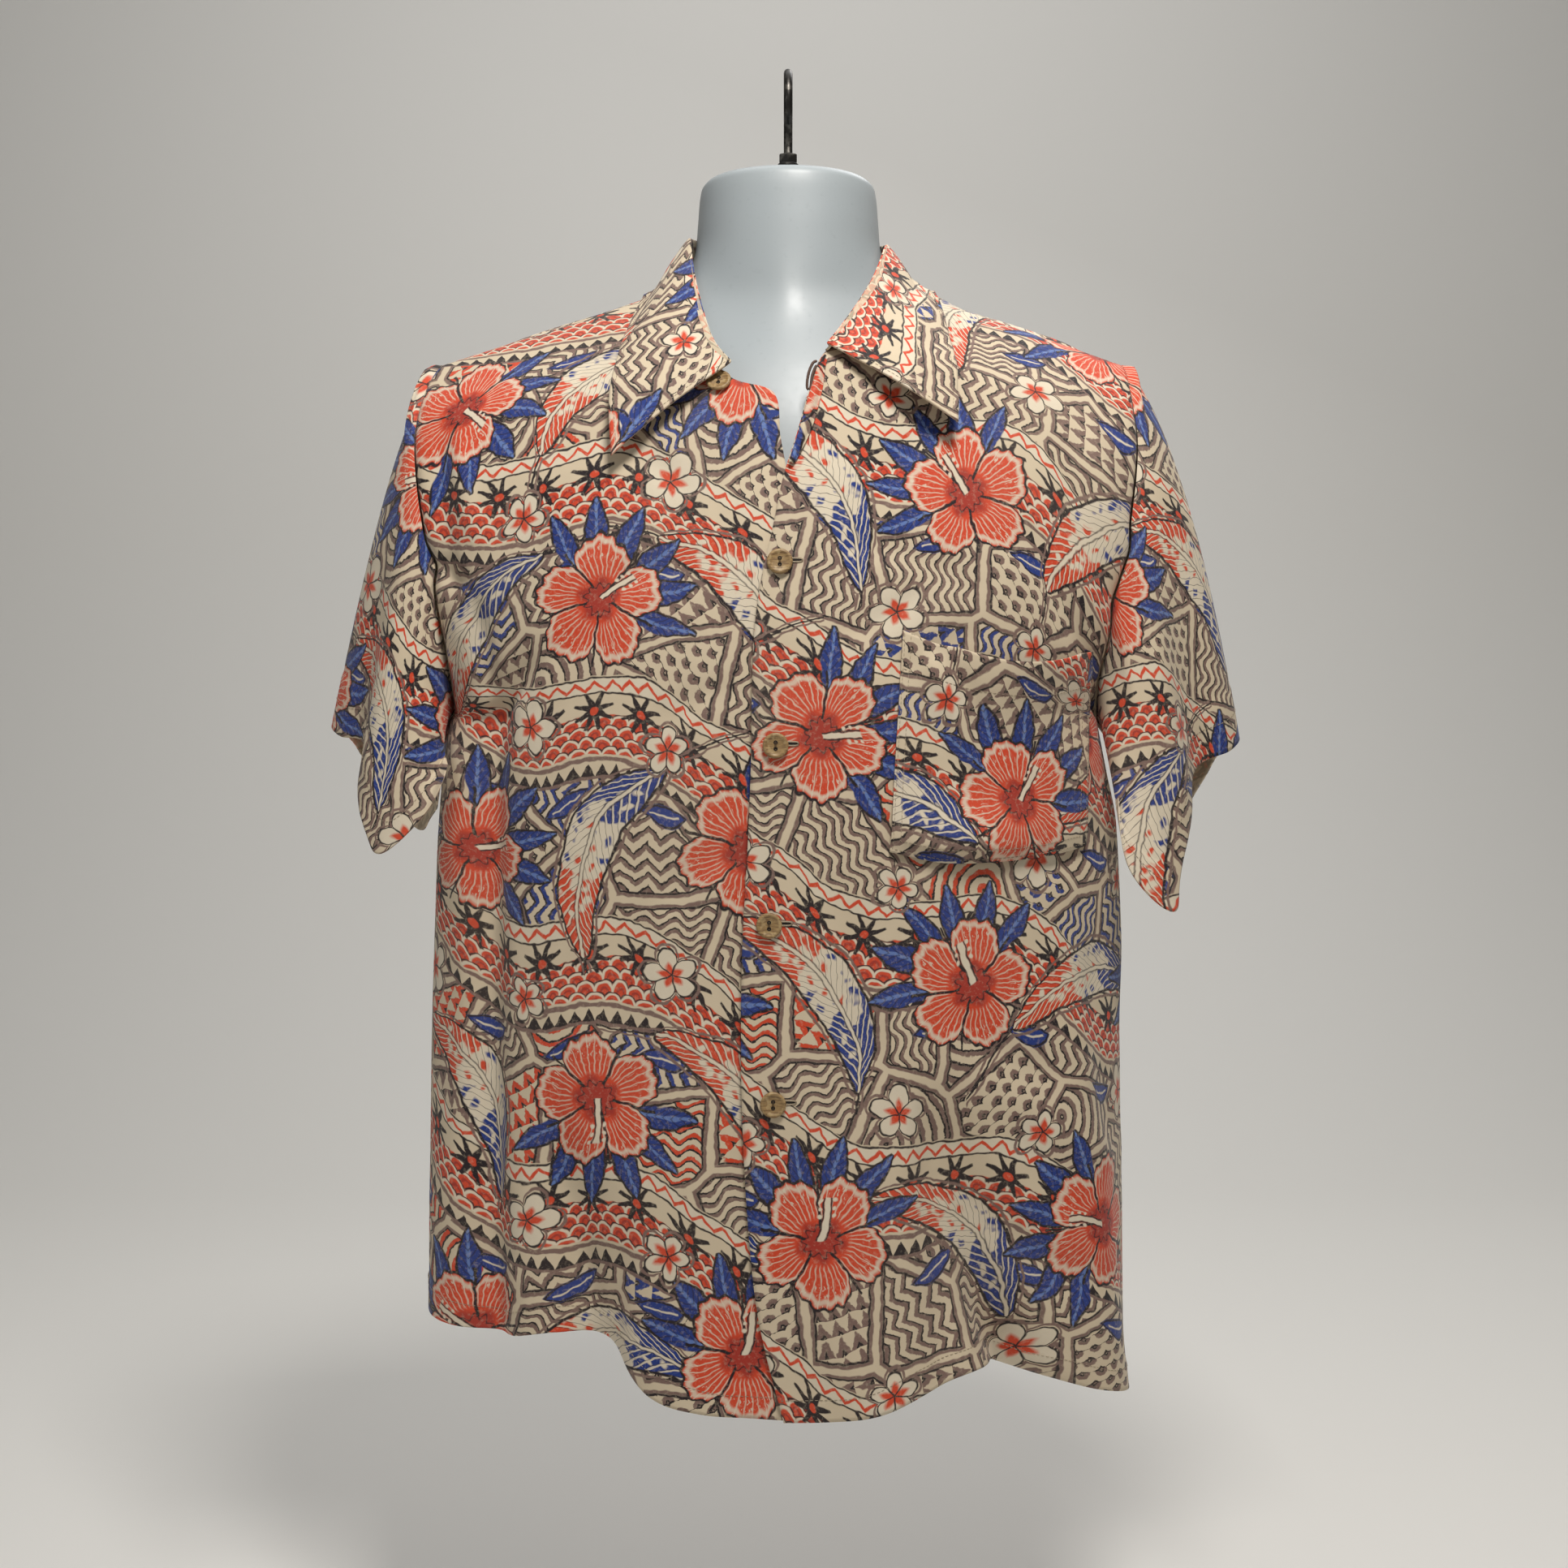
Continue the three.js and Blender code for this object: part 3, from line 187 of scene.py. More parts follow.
def side_spline(table, t):
    """As spline, with a sharp turn at the armpit: the rows below and above it are two curves."""
    place = t * LAST_ROW
    low = spline(table[: ARMPIT_ROW + 1], place / ARMPIT_ROW)
    high = spline(table[ARMPIT_ROW:], (place - ARMPIT_ROW) / (LAST_ROW - ARMPIT_ROW))
    return np.where((place <= ARMPIT_ROW)[:, None], low, high)


def smooth(x, low, high):
    """Smooth step: 3k^2 - 2k^3 with k = (x - low) / (high - low) held between 0 and 1."""
    k = np.clip((x - low) / (high - low), 0, 1)
    return k * k * (3 - 2 * k)


def evenly(lines, steps):
    """Each line of a stack resampled to equal steps of its length."""
    step = np.linalg.norm(np.diff(lines, axis=1), axis=2)
    reached = np.concatenate([np.zeros((len(lines), 1)), np.cumsum(step, axis=1)], axis=1)
    out = np.empty((len(lines), steps + 1, 3))
    for j, (line, length) in enumerate(zip(lines, reached)):
        want = np.linspace(0, length[-1], steps + 1)
        for axis in range(3):
            out[j, :, axis] = np.interp(want, length, line[:, axis])
    return out


def normals_of(grid, sign, closed=False):
    """Unit cross product of the differences across and up a grid, times sign."""
    if closed:
        ring = grid[:, :-1]
        across = np.roll(ring, -1, axis=1) - np.roll(ring, 1, axis=1)
        across = np.concatenate([across, across[:, :1]], axis=1)
    else:
        across = np.gradient(grid, axis=1)
    n = np.cross(across, np.gradient(grid, axis=0)) * sign
    return n / (np.linalg.norm(n, axis=2, keepdims=True) + 1e-12)


def keep_clear(grid, surface, gap):
    """Points nearer than gap above the nearest surface point move out along its normal."""
    base, normals = surface
    flat = grid.reshape(-1, 3).astype(np.float32)
    square = (base**2).sum(1)
    gaps = np.broadcast_to(gap, grid.shape[:2]).reshape(-1)
    for start in range(0, len(flat), 2000):
        p = flat[start : start + 2000]
        k = (square - 2 * (p @ base.T)).argmin(1)
        off = p - base[k]
        height = (off * normals[k]).sum(1)
        beside = (off**2).sum(1) - height**2 > 64
        push = np.where(beside, 0, np.maximum(gaps[start : start + 2000] - height, 0))
        p += normals[k] * push[:, None]
    return flat.reshape(grid.shape).astype(float)


def form_grid(rows, steps):
    """Superellipse sections: x = half sin^(2/n), y = -front or back cos^(2/n), in equal steps."""
    t = np.linspace(0, 1, rows + 1)
    z, half, front, back, square = spline(FORM, t).T[..., None]
    angle = np.linspace(0, 2 * np.pi, 481)
    power = 2 / square
    s = np.sign(np.sin(angle)) * np.abs(np.sin(angle)) ** power
    c = np.sign(np.cos(angle)) * np.abs(np.cos(angle)) ** power
    y = np.where(c > 0, -front * c, -back * c)
    return evenly(np.stack([half * s, y, z + 0 * s], axis=2), steps)


def surface_of(*sheets):
    """Points and normals of sheets, flattened for keep_clear."""
    points = np.concatenate([s["grid"].reshape(-1, 3) for s in sheets]).astype(np.float32)
    normals = np.concatenate([s["normals"].reshape(-1, 3) for s in sheets]).astype(np.float32)
    return points, normals


coarse_form = form_grid(110, 110)
FORM_SURFACE = surface_of({"grid": coarse_form, "normals": normals_of(coarse_form, 1, True)})


def fold_height(folds, u, t):
    """Sum of depth(k) exp(-((u - centre(k)) / width)^2), k the share along each fold."""
    height = np.zeros(np.broadcast(u, t).shape)
    for low, high, across_low, across_high, depth_low, depth_high, width in folds:
        k = (t - low) / (high - low)
        inside = (k >= 0) & (k <= 1)
        fade = (1 - smooth(k, 0.7, 1)) * (smooth(k, 0, 0.25) if low > 0 else 1)
        centre = across_low + (across_high - across_low) * k
        depth = (depth_low + (depth_high - depth_low) * k) * fade
        height += inside * depth * np.exp(-(((u - centre) / width) ** 2))
    return height


def creases(points, table):
    """Sum over soft creases of depth exp(-(d/width)^2), d the distance to the line in x and z,
    bowed sideways by bow at its middle and fading out at both ends."""
    x, z = points[..., 0], points[..., 2]
    height = np.zeros(x.shape)
    for x0, z0, x1, z1, bow, depth, width in table:
        dx, dz = x1 - x0, z1 - z0
        length = math.hypot(dx, dz)
        along = ((x - x0) * dx + (z - z0) * dz) / length**2
        across = ((x - x0) * dz - (z - z0) * dx) / length
        across = across - bow * 4 * np.clip(along, 0, 1) * (1 - np.clip(along, 0, 1))
        fade = smooth(along, -0.12, 0.3) * (1 - smooth(along, 0.7, 1.12))
        height += depth * fade * np.exp(-((across / width) ** 2))
    return height


def panel(inner, outer, side, hem, folds, lift, extra, rows, columns):
    """Rows x = xi + (xo-xi) sin^(2/n), y = yo + (yi-yo) cos^(2/n), z as x, then hem, lean and folds."""
    t = np.linspace(0, 1, rows + 1)
    a = spline(inner, t)[:, None, :]
    if inner[0][1] > 0:
        a[..., 0] = np.maximum(a[..., 0], 0)
    b = side_spline(outer, t)[:, None, :]
    angle = np.linspace(0, np.pi / 2, 161)
    power = 2 / b[..., 3]
    s = np.sin(angle) ** power
    c = np.maximum(np.cos(angle), 0) ** power
    x = a[..., 0] + (b[..., 0] - a[..., 0]) * s
    y = b[..., 1] + (a[..., 1] - b[..., 1]) * c
    z = a[..., 2] + (b[..., 2] - a[..., 2]) * s
    grid = evenly(np.stack([x, y, z], axis=2), columns)
    u = np.linspace(0, 1, columns + 1)[None, :]
    share = np.maximum(1 - t / HEM_REACH, 0)[:, None] ** 2
    grid[..., 2] += (spline(hem, u[0])[None, :] - HEM_LEVEL) * share
    grid[..., 0] = grid[..., 0] * side + LEAN * (1 - smooth(grid[..., 2], LEAN_FULL, LEAN_FROM))
    sign = side * (1 if inner[0][1] < 0 else -1)
    raised = fold_height(folds, u, t[:, None]) + lift * (1 - smooth(u, 0.14, 0.3))
    raised = raised + creases(grid, extra)
    plain = cloth_sizes(grid)
    grid = grid + normals_of(grid, sign) * raised[..., None]
    near = t > 0.3
    grid[near] = keep_clear(grid[near], FORM_SURFACE, CAD_CLOTH + FORM_GAP)
    return {"grid": grid, "normals": normals_of(grid, sign), "sign": sign, "flat": plain, "u": u, "t": t}


def cloth_sizes(grid):
    """Flat cloth coordinates: across is the length along a row, up the length along a column."""
    across = np.zeros(grid.shape[:2])
    across[:, 1:] = np.cumsum(np.hypot(*np.diff(grid[..., :2], axis=1).transpose(2, 0, 1)), axis=1)
    side = np.sign(grid[:, -1:, 0] - grid[:, :1, 0])
    across = grid[:, :1, 0] + side * across
    step = np.diff(grid[..., 1:], axis=0)
    up = np.zeros(grid.shape[:2])
    up[1:] = np.cumsum(np.hypot(step[..., 0], step[..., 1]), axis=0)
    return np.stack([across, up + grid[:1, :, 2]], axis=2)


def sample(field, u, t):
    """Bilinear value of a grid at shares u across and t up."""
    rows, columns = field.shape[0] - 1, field.shape[1] - 1
    pj, pi = np.clip(t, 0, 1) * rows, np.clip(u, 0, 1) * columns
    j, i = np.minimum(pj.astype(int), rows - 1), np.minimum(pi.astype(int), columns - 1)
    fj, fi = (pj - j)[..., None], (pi - i)[..., None]
    low = field[j, i] * (1 - fi) + field[j, i + 1] * fi
    high = field[j + 1, i] * (1 - fi) + field[j + 1, i + 1] * fi
    return low * (1 - fj) + high * fj


# Softer creases: x, z at both ends, bow, depth and width
CREASES = {
    "left_front": [
        (150, 175, 212, 60, 6, -4.0, 9), (175, 215, 222, 100, 5, -3.5, 8),
        (196, 230, 228, 130, 3, 3.0, 7), (84, -205, 96, -400, -4, -6.0, 12),
        (118, -250, 210, -330, 10, -4.5, 12), (130, -180, 222, -250, 8, 3.5, 14),
        (100, -140, 180, -190, 8, -2.5, 12), (30, 150, 120, 118, -8, -2.0, 10),
        (24, 90, 90, 128, 6, -1.6, 9), (40, -60, 58, -190, 5, -2.2, 12),
        (20, -250, 40, -385, 4, 3.0, 12), (60, -120, 75, -260, -6, 2.4, 10),
        (200, -80, 214, -260, 4, -4.5, 12), (212, 20, 222, -150, -3, 3.0, 9),
        (100, 235, 60, 180, 5, -1.8, 9), (60, 60, 130, 100, -5, -1.2, 9),
        (150, -60, 205, -30, 5, -2.2, 9),
    ],
    "right_front": [
        (-240, 150, -204, 128, 3, -5.0, 8), (-204, 128, -186, 40, 2, -5.0, 8),
        (-225, 235, -214, 110, 4, -4.0, 8), (-214, 225, -196, 150, 3, 3.0, 8),
        (-150, 180, -205, 80, -6, -3.0, 10), (-120, 110, -190, 60, -6, -2.2, 10),
        (-60, 140, -150, 100, 8, -2.0, 10), (-90, -60, -110, -230, 5, -2.6, 12),
        (-50, -150, -64, -330, -5, 2.6, 12), (-150, -180, -128, -340, 5, -4.0, 12),
        (-222, -60, -228, -260, -3, -4.0, 10), (-30, 60, -84, 30, 6, -1.6, 10),
        (-30, -40, -80, -80, 6, -1.6, 10), (-120, 215, -60, 180, -6, -1.8, 10),
        (-212, 30, -206, -90, 2, 3.0, 8), (-100, -270, -112, -380, 3, -5.0, 9),
    ],
    "left_back": [
        (150, 200, 214, 70, 6, -4.0, 10), (120, 220, 205, 120, 8, -3.0, 10),
        (60, -60, 75, -300, 6, -4.0, 13), (120, -40, 138, -330, -5, 4.0, 13),
        (170, 30, 182, -260, 4, -5.0, 12), (30, 120, 110, 90, -8, -2.0, 12),
        (20, -150, 30, -380, 3, 3.0, 12), (90, 20, 160, 60, 6, -2.4, 10),
        (205, 10, 214, -220, -3, 3.0, 10),
    ],
    "right_back": [
        (-150, 190, -214, 80, -6, -4.0, 10), (-110, 225, -200, 130, -8, -3.0, 10),
        (-70, -40, -84, -290, -6, -4.0, 13), (-130, -30, -146, -320, 5, 4.0, 13),
        (-180, 40, -190, -230, -4, -5.0, 12), (-30, 90, -120, 60, 8, -2.0, 12),
        (-36, -120, -44, -380, -3, 3.0, 12), (-100, 40, -170, 70, -6, -2.4, 10),
        (-208, 0, -218, -230, 3, 3.0, 10),
    ],
}
ROWS, COLUMNS, BACK_COLUMNS = 236, 116, 90


def body_panel(name, inner, outer, side, lift, columns):
    """A quarter of the body with the hem, folds and creases of that name."""
    return panel(inner, outer, side, HEM[name], FOLDS[name], lift, CREASES[name], ROWS, columns)


left_front = body_panel("left_front", LEFT_FRONT_EDGE, FRONT_SIDE, 1, OVERLAP, COLUMNS)
right_front = body_panel("right_front", RIGHT_FRONT_EDGE, FRONT_SIDE, -1, 0, COLUMNS)
left_back = body_panel("left_back", BACK_EDGE, BACK_SIDE, 1, 0, BACK_COLUMNS)
right_back = body_panel("right_back", BACK_EDGE, BACK_SIDE, -1, 0, BACK_COLUMNS)


def thinned(sheet, step):
    """Every so many points of a sheet and their normals."""
    return {"grid": sheet["grid"][::step, ::step], "normals": sheet["normals"][::step, ::step]}


right_front["flat"] += RIGHT_FRONT_PRINT
BODY_SURFACE = surface_of(*(thinned(s, 2) for s in (left_front, right_front, left_back, right_back)))


def metres(points):
    """From figure millimetres to the row frame in metres."""
    out = np.asarray(points, float) * 0.001
    out[..., 2] -= HOOK_HEIGHT * 0.001
    return out


def make_wall(name, sheet, thickness, closed=False):
    """A closed thin wall of quads: the grid, its inner side thickness below, and the rims."""
    grid, normals, flat = sheet["grid"], sheet["normals"], sheet["flat"]
    rows, columns = grid.shape[:2]
    depth = np.broadcast_to(thickness, (rows, columns))[..., None]
    if closed:
        normals = normals.copy()
        normals[:, -1] = normals[:, 0]
    inside = grid - normals * depth
    points = np.concatenate([grid.reshape(-1, 3), inside.reshape(-1, 3)])
    index = np.arange(rows * columns).reshape(rows, columns)
    count = rows * columns
    a, b, c, d = index[:-1, :-1], index[:-1, 1:], index[1:, 1:], index[1:, :-1]
    outer = np.stack([a, b, c, d], axis=2).reshape(-1, 4)
    outer = outer if sheet["sign"] > 0 else outer[:, ::-1]
    faces = [outer, outer[:, ::-1] + count]
    edges = [(index[0, :-1], index[0, 1:]), (index[-1, 1:], index[-1, :-1])]
    if not closed:
        edges += [(index[1:, 0], index[:-1, 0]), (index[:-1, -1], index[1:, -1])]
    for start, end in edges:
        rim = np.stack([end, start, start + count, end + count], axis=1)
        faces.append(rim if sheet["sign"] > 0 else rim[:, ::-1])
    faces = np.concatenate(faces)
    uv = (np.concatenate([flat.reshape(-1, 2)] * 2) * 0.001)[faces]
    inner = np.concatenate([np.zeros(count), np.ones(count)])
    if closed:
        joined_at = index.copy()
        joined_at[:, -1] = index[:, 0]
        faces = np.concatenate([joined_at.ravel(), joined_at.ravel() + count])[faces]
    used, faces = np.unique(faces, return_inverse=True)
    return make_mesh(name, metres(points[used]), faces.reshape(-1, 4), uv, inner[used])


def make_mesh(name, points, faces, uv=None, inner=None, smooth_faces=True):
    """A mesh object from arrays, with its flat cloth coordinates as a UV map."""
    mesh = bpy.data.meshes.new(name)
    size = faces.shape[1]
    mesh.vertices.add(len(points))
    mesh.vertices.foreach_set("co", points.astype(np.float32).ravel())
    mesh.loops.add(faces.size)
    mesh.loops.foreach_set("vertex_index", faces.astype(np.int32).ravel())
    mesh.polygons.add(len(faces))
    mesh.polygons.foreach_set("loop_start", (np.arange(len(faces)) * size).astype(np.int32))
    mesh.update(calc_edges=True)
    if uv is not None:
        mesh.uv_layers.new(name="cloth").data.foreach_set("uv", uv.astype(np.float32).ravel())
    if inner is not None:
        layer = mesh.attributes.new("inside", "FLOAT", "POINT")
        layer.data.foreach_set("value", inner.astype(np.float32))
    mesh.validate()
    mesh.polygons.foreach_set("use_smooth", np.full(len(mesh.polygons), smooth_faces))
    mesh.update()
    thing = bpy.data.objects.new(name, mesh)
    bpy.context.scene.collection.objects.link(thing)
    return thing


pieces = {}


def keep(thing, nodes):
    """The piece rides on the one body, stands for its solids and goes into pieces, which take their
    finishes further down.
    """
    nodes = [nodes] if isinstance(nodes, str) else nodes
    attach(thing, "root")
    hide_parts(*nodes)
    pieces[nodes[0]] = thing
    return thing


def reached(grid, axis):
    """Length from a grid's first column along its rows, axis 1, or from its first row up, axis 0."""
    step = np.linalg.norm(np.diff(grid, axis=axis), axis=2)
    start = np.zeros_like(step[:, :1] if axis else step[:1])
    return np.concatenate([start, np.cumsum(step, axis=axis)], axis=axis)


def seam_roll(sheet, left=0.0, right=0.0, low=0.0, high=0.0, reach=3.5):
    """Near a sewn edge the cloth dips: depth exp(-(d/reach)^2), d the distance to the edge."""
    grid = sheet["grid"]
    row, col = reached(grid, 1), reached(grid, 0)
    dip = np.zeros(grid.shape[:2])
    for depth, away in ((left, row), (right, row[:, -1:] - row), (low, col), (high, col[-1:] - col)):
        dip = np.maximum(dip, depth * np.exp(-((away / reach) ** 2)))
    sheet["grid"] = grid - sheet["normals"] * dip[..., None]
    return sheet


def cut(sheet, u0, u1, t0, t1, columns, rows):
    """Part of a sheet between shares u0..u1 across and t0..t1 up, as a sheet of its own."""
    u, t = np.meshgrid(np.linspace(u0, u1, columns + 1), np.linspace(t0, t1, rows + 1))
    return {
        "grid": sample(sheet["grid"], u, t),
        "normals": sample(sheet["normals"], u, t),
        "flat": sample(sheet["flat"], u, t),
        "sign": sheet["sign"],
    }


def locate(sheet, x, z):
    """Shares across and up a sheet of the points seen from the front at x and z, by relaxation."""
    grid = sheet["grid"]
    side = np.sign(grid[0, -1, 0] - grid[0, 0, 0])
    u, t = np.full(np.shape(x), 0.5), np.full(np.shape(x), 0.4)
    for _ in range(80):
        p = sample(grid, u, t)
        u = np.clip(u + side * (x - p[..., 0]) / 500, 0, 1)
        t = np.clip(t + (z - p[..., 2]) / 1600, 0, 1)
    return u, t


def real_area(sheet):
    """Area of a sheet's grid in square metres, as it lies."""
    g = sheet["grid"] * 0.001
    n = np.cross(g[1:, 1:] - g[:-1, :-1], g[1:, :-1] - g[:-1, 1:])
    return float(np.linalg.norm(n, axis=2).sum() / 2)


def declare(sheets, width, length):
    """Works out a cloth piece's area as it lies, held between 0.31 and 1 times its width times length, and
    keeps nothing.
    """
    area = sum(real_area(s) for s in sheets)
    area = min(max(area, 0.31 * width * length), width * length)


def turned_hem(up, height):
    """Rise of the cloth where its hem is turned under: a step at that height, dipped at its stitches."""
    return 0.55 * (1 - smooth(up, height - 2, height + 1.5)) - 0.45 * np.exp(-(((up - height) / 2) ** 2))


BODY_HEM, SLEEVE_HEM = 19, 24  # heights of the turned hems


def hemmed(part):
    """A body panel with its turned hem, puckered a little along the stitches."""
    up = reached(part["grid"], 0)
    pucker = np.sin(part["flat"][..., 0] / 4.1) * np.sin(part["flat"][..., 0] / 11.7)
    rise = turned_hem(up, BODY_HEM) + 0.35 * pucker * np.exp(-(((up - BODY_HEM) / 7) ** 2))
    part["grid"] = part["grid"] + part["normals"] * rise[..., None]
    return part


def shown_panel(name, sheet, width, length):
    """A front: its seams dip a little at the side, the armhole and the shoulder."""
    part = hemmed(cut(sheet, 0, 1, 0, 1, COLUMNS, ROWS))
    thing = make_wall(name + "_cloth", seam_roll(part, right=0.9, high=0.9), CLOTH)
    shown[name] = part
    keep(thing, name)
    declare([part], width, length)
    return thing


shown = {}
shown_panel("front_left", left_front, 0.40, 0.80)
shown_panel("front_right", right_front, 0.38, 0.80)


def both_backs():
    """The back in one sheet: the right quarter reversed, then the left one."""
    halves = [cut(s, 0, 1, 0, 1, BACK_COLUMNS, ROWS) for s in (right_back, left_back)]
    merged = {"sign": left_back["sign"]}
    for field in ("grid", "normals", "flat"):
        right, left = halves[0][field][:, ::-1].copy(), halves[1][field]
        middle = (right[:, -1:] + left[:, :1]) / 2
        merged[field] = np.concatenate([right[:, :-1], middle, left[:, 1:]], axis=1)
    merged["flat"] = merged["flat"] * [-1, 1] + BACK_PRINT
    return merged


back = seam_roll(hemmed(both_backs()), left=0.9, right=0.9, high=0.9)
keep(make_wall("back_cloth", back, CLOTH), ["back_left", "back_right"])
declare([back], 0.72, 0.86)


def armhole(front, rear, side, steps):
    """Ring along the armhole seam, from the shoulder down the front and up the back."""
    low = ARMPIT_ROW / LAST_ROW
    down, up = np.linspace(1, low, 161), np.linspace(low, 1, 161)[1:]
    front_half = sample(front["grid"], np.ones(161), down)
    rear_half = sample(rear["grid"], np.ones(160), up)
    line = np.concatenate([front_half, rear_half])
    return evenly(line[None], steps)[0] + [side * 0.3, 0, 0]


def cuff_values(cuff, around):
    """Smooth closed curve through the cuff table's columns at places around the ring."""
    table = np.array(cuff, float)
    count = len(table)
    starts = table[:, 0]
    k = np.searchsorted(starts, around, side="right") - 1
    ends = np.append(starts[1:], 1.0)
    f = ((around - starts[k]) / (ends[k] - starts[k]))[:, None]
    a, b, c, d = (table[(k + i) % count, 1:] for i in (-1, 0, 1, 2))
    return b + 0.5 * f * (c - a + f * (2 * a - 5 * b + 4 * c - d + f * (3 * (b - c) + d - a)))


# Ripples of the sleeves: place around, depth and width at the cuff, share of the sleeve reached
SLEEVE_RIPPLES = [
    (0.05, 2.5, 0.03, 0.9), (0.13, -3.0, 0.03, 1.0), (0.21, 3.0, 0.028, 1.0), (0.29, -2.5, 0.03, 0.8),
    (0.66, -3.5, 0.04, 0.9), (0.78, 3.5, 0.04, 1.0), (0.92, -2.5, 0.035, 0.8),
]


def unrolled(grid, side, around):
    """Print places of a sleeve rolled off an oval tube: radius times angle, and distance down its axis."""
    start = grid[0, :-1].mean(axis=0)
    axis = (grid[-1, :-1].mean(axis=0) - start) * [1, 0, 1]
    axis /= np.linalg.norm(axis)
    out = side * np.array([-axis[2], 0, axis[0]])
    away = grid - start
    down, wide, ahead = away @ axis, away @ out, -away[..., 1]
    half_wide, half_deep = np.ptp(wide) / 2, np.ptp(ahead) / 2
    wide = wide - (wide.max() + wide.min()) / 2
    angle = np.arctan2(ahead / half_deep, wide / half_wide)
    angle = np.where((around > 0.25) & (around <= 0.5) & (angle < -0.5), angle + 2 * np.pi, angle)
    angle = np.where((around > 0.5) & (around < 0.75) & (angle > 0.5), angle - 2 * np.pi, angle)
    across = -side * angle * (half_wide + half_deep) / 2
    return np.stack([across + SLEEVE_PRINT[0] * side, SLEEVE_PRINT[1] - down - 40 * side], axis=2)


def sleeve(name, front, rear, cuff, side, rows=130, steps=180):
    """Lines on quadratic curves (1-s)^2 P0 + 2 s (1-s) P1 + s^2 P2 from the armhole to the cuff."""
    around = np.linspace(0, 1, steps + 1)
    ring = armhole(front, rear, side, steps)
    values = cuff_values(cuff, np.where(around >= 1, 0, around))
    mirror = np.array([side, 1, 1])
    end = values[:, :3] * mirror
    middle = ring + values[:, 3:] * mirror
    s = np.linspace(0, 1, rows + 1)[:, None, None]
    grid = ring * (1 - s) ** 2 + middle * 2 * s * (1 - s) + end * s**2
    normals = normals_of(grid, side, True)
    bump = np.zeros(grid.shape[:2])
    for place, depth, width, share in SLEEVE_RIPPLES:
        away = np.abs(around - place)
        away = np.minimum(away, 1 - away)
        bump += depth * np.exp(-((away / width) ** 2))[None, :] * smooth(s[..., 0], 1 - share, 1)
    grid = grid + normals * bump[..., None]
    gap = 1.6 * smooth(s[..., 0], 0, 0.08) + 2.2 * smooth(s[..., 0], 0.1, 0.4) + 0 * around
    grid = keep_clear(grid, BODY_SURFACE, gap)
    grid[:, -1] = grid[:, 0]
    down = reached(grid, 0)
    flat = unrolled(grid, side, around)
    sheet = {"grid": grid, "normals": normals_of(grid, side, True), "flat": flat, "sign": side}
    rise = turned_hem((1 - s[..., 0]) * down[-1:], SLEEVE_HEM)
    sheet["grid"] = grid + sheet["normals"] * rise[..., None]
    thing = make_wall(name + "_cloth", seam_roll(sheet, low=0.5), CLOTH, closed=True)
    keep(thing, name)
    declare([sheet], 0.52, 0.36)
    return sheet


left_sleeve = sleeve("sleeve_left", left_front, left_back, LEFT_CUFF, 1)
right_sleeve = sleeve("sleeve_right", right_front, right_back, RIGHT_CUFF, -1)


def neckline(steps):
    """From the collar's end on the right front round the back to its end on the left front."""
    ends = [(right_front, RIGHT_COLLAR_ROW, LAST_ROW), (right_back, LAST_ROW, NECK_POINT_ROW),
            (left_back, NECK_POINT_ROW, LAST_ROW), (left_front, LAST_ROW, NECK_POINT_ROW)]
    line = [sample(s["grid"], np.zeros(61), np.linspace(a, b, 61) / LAST_ROW) for s, a, b in ends]
    return evenly(np.concatenate(line)[None], steps)[0]


COLLAR_LIFT = 9.0  # how far the points of the collar stand away from the fronts


def collar(rows=60, steps=220):
    """Foot, stand, roll, fall and edge joined by a spline, kept clear of the form and the body."""
    c = np.linspace(0, 1, steps + 1)
    foot = neckline(steps) + [0, 0, SEAM_GAP + 0.8]
    values = spline(COLLAR, c)
    roll, edge = values[:, :3], values[:, 3:]
    stand = foot + (roll - foot) * 0.55
    outward = roll * [1, 1, 0]
    outward /= np.linalg.norm(outward, axis=1, keepdims=True)
    fall = roll + (edge - roll) * 0.4 + outward * 3
    stops = np.stack([foot, stand, roll, fall, edge])
    w = np.linspace(0, 1, rows + 1)
    grid = spline(stops.reshape(5, -1), w).reshape(rows + 1, steps + 1, 3)
    grid = keep_clear(grid, FORM_SURFACE, 1.7 + 0.5)
    fall_rows = w > 0.3
    grid[fall_rows] = keep_clear(grid[fall_rows], BODY_SURFACE, 1.7 + LAYER_GAP + 0.6)
    lift = smooth(w, 0.45, 1)[:, None] ** 1.2 * smooth(np.abs(c - 0.5), 0.28, 0.46)
    grid = grid + normals_of(grid, 1) * (COLLAR_LIFT * lift)[..., None]
    down = reached(grid, 0)
    mid = np.concatenate([[0], np.cumsum(np.linalg.norm(np.diff(roll, axis=0), axis=1))])
    flat = np.stack([np.broadcast_to(mid, down.shape), down], axis=2) + COLLAR_PRINT
    sheet = {"grid": grid, "normals": normals_of(grid, 1), "flat": flat, "sign": 1}
    thing = make_wall("collar_cloth", sheet, 1.4)
    keep(thing, "collar")
    declare([sheet], 0.46, 0.14)
    return sheet


collar_sheet = collar()


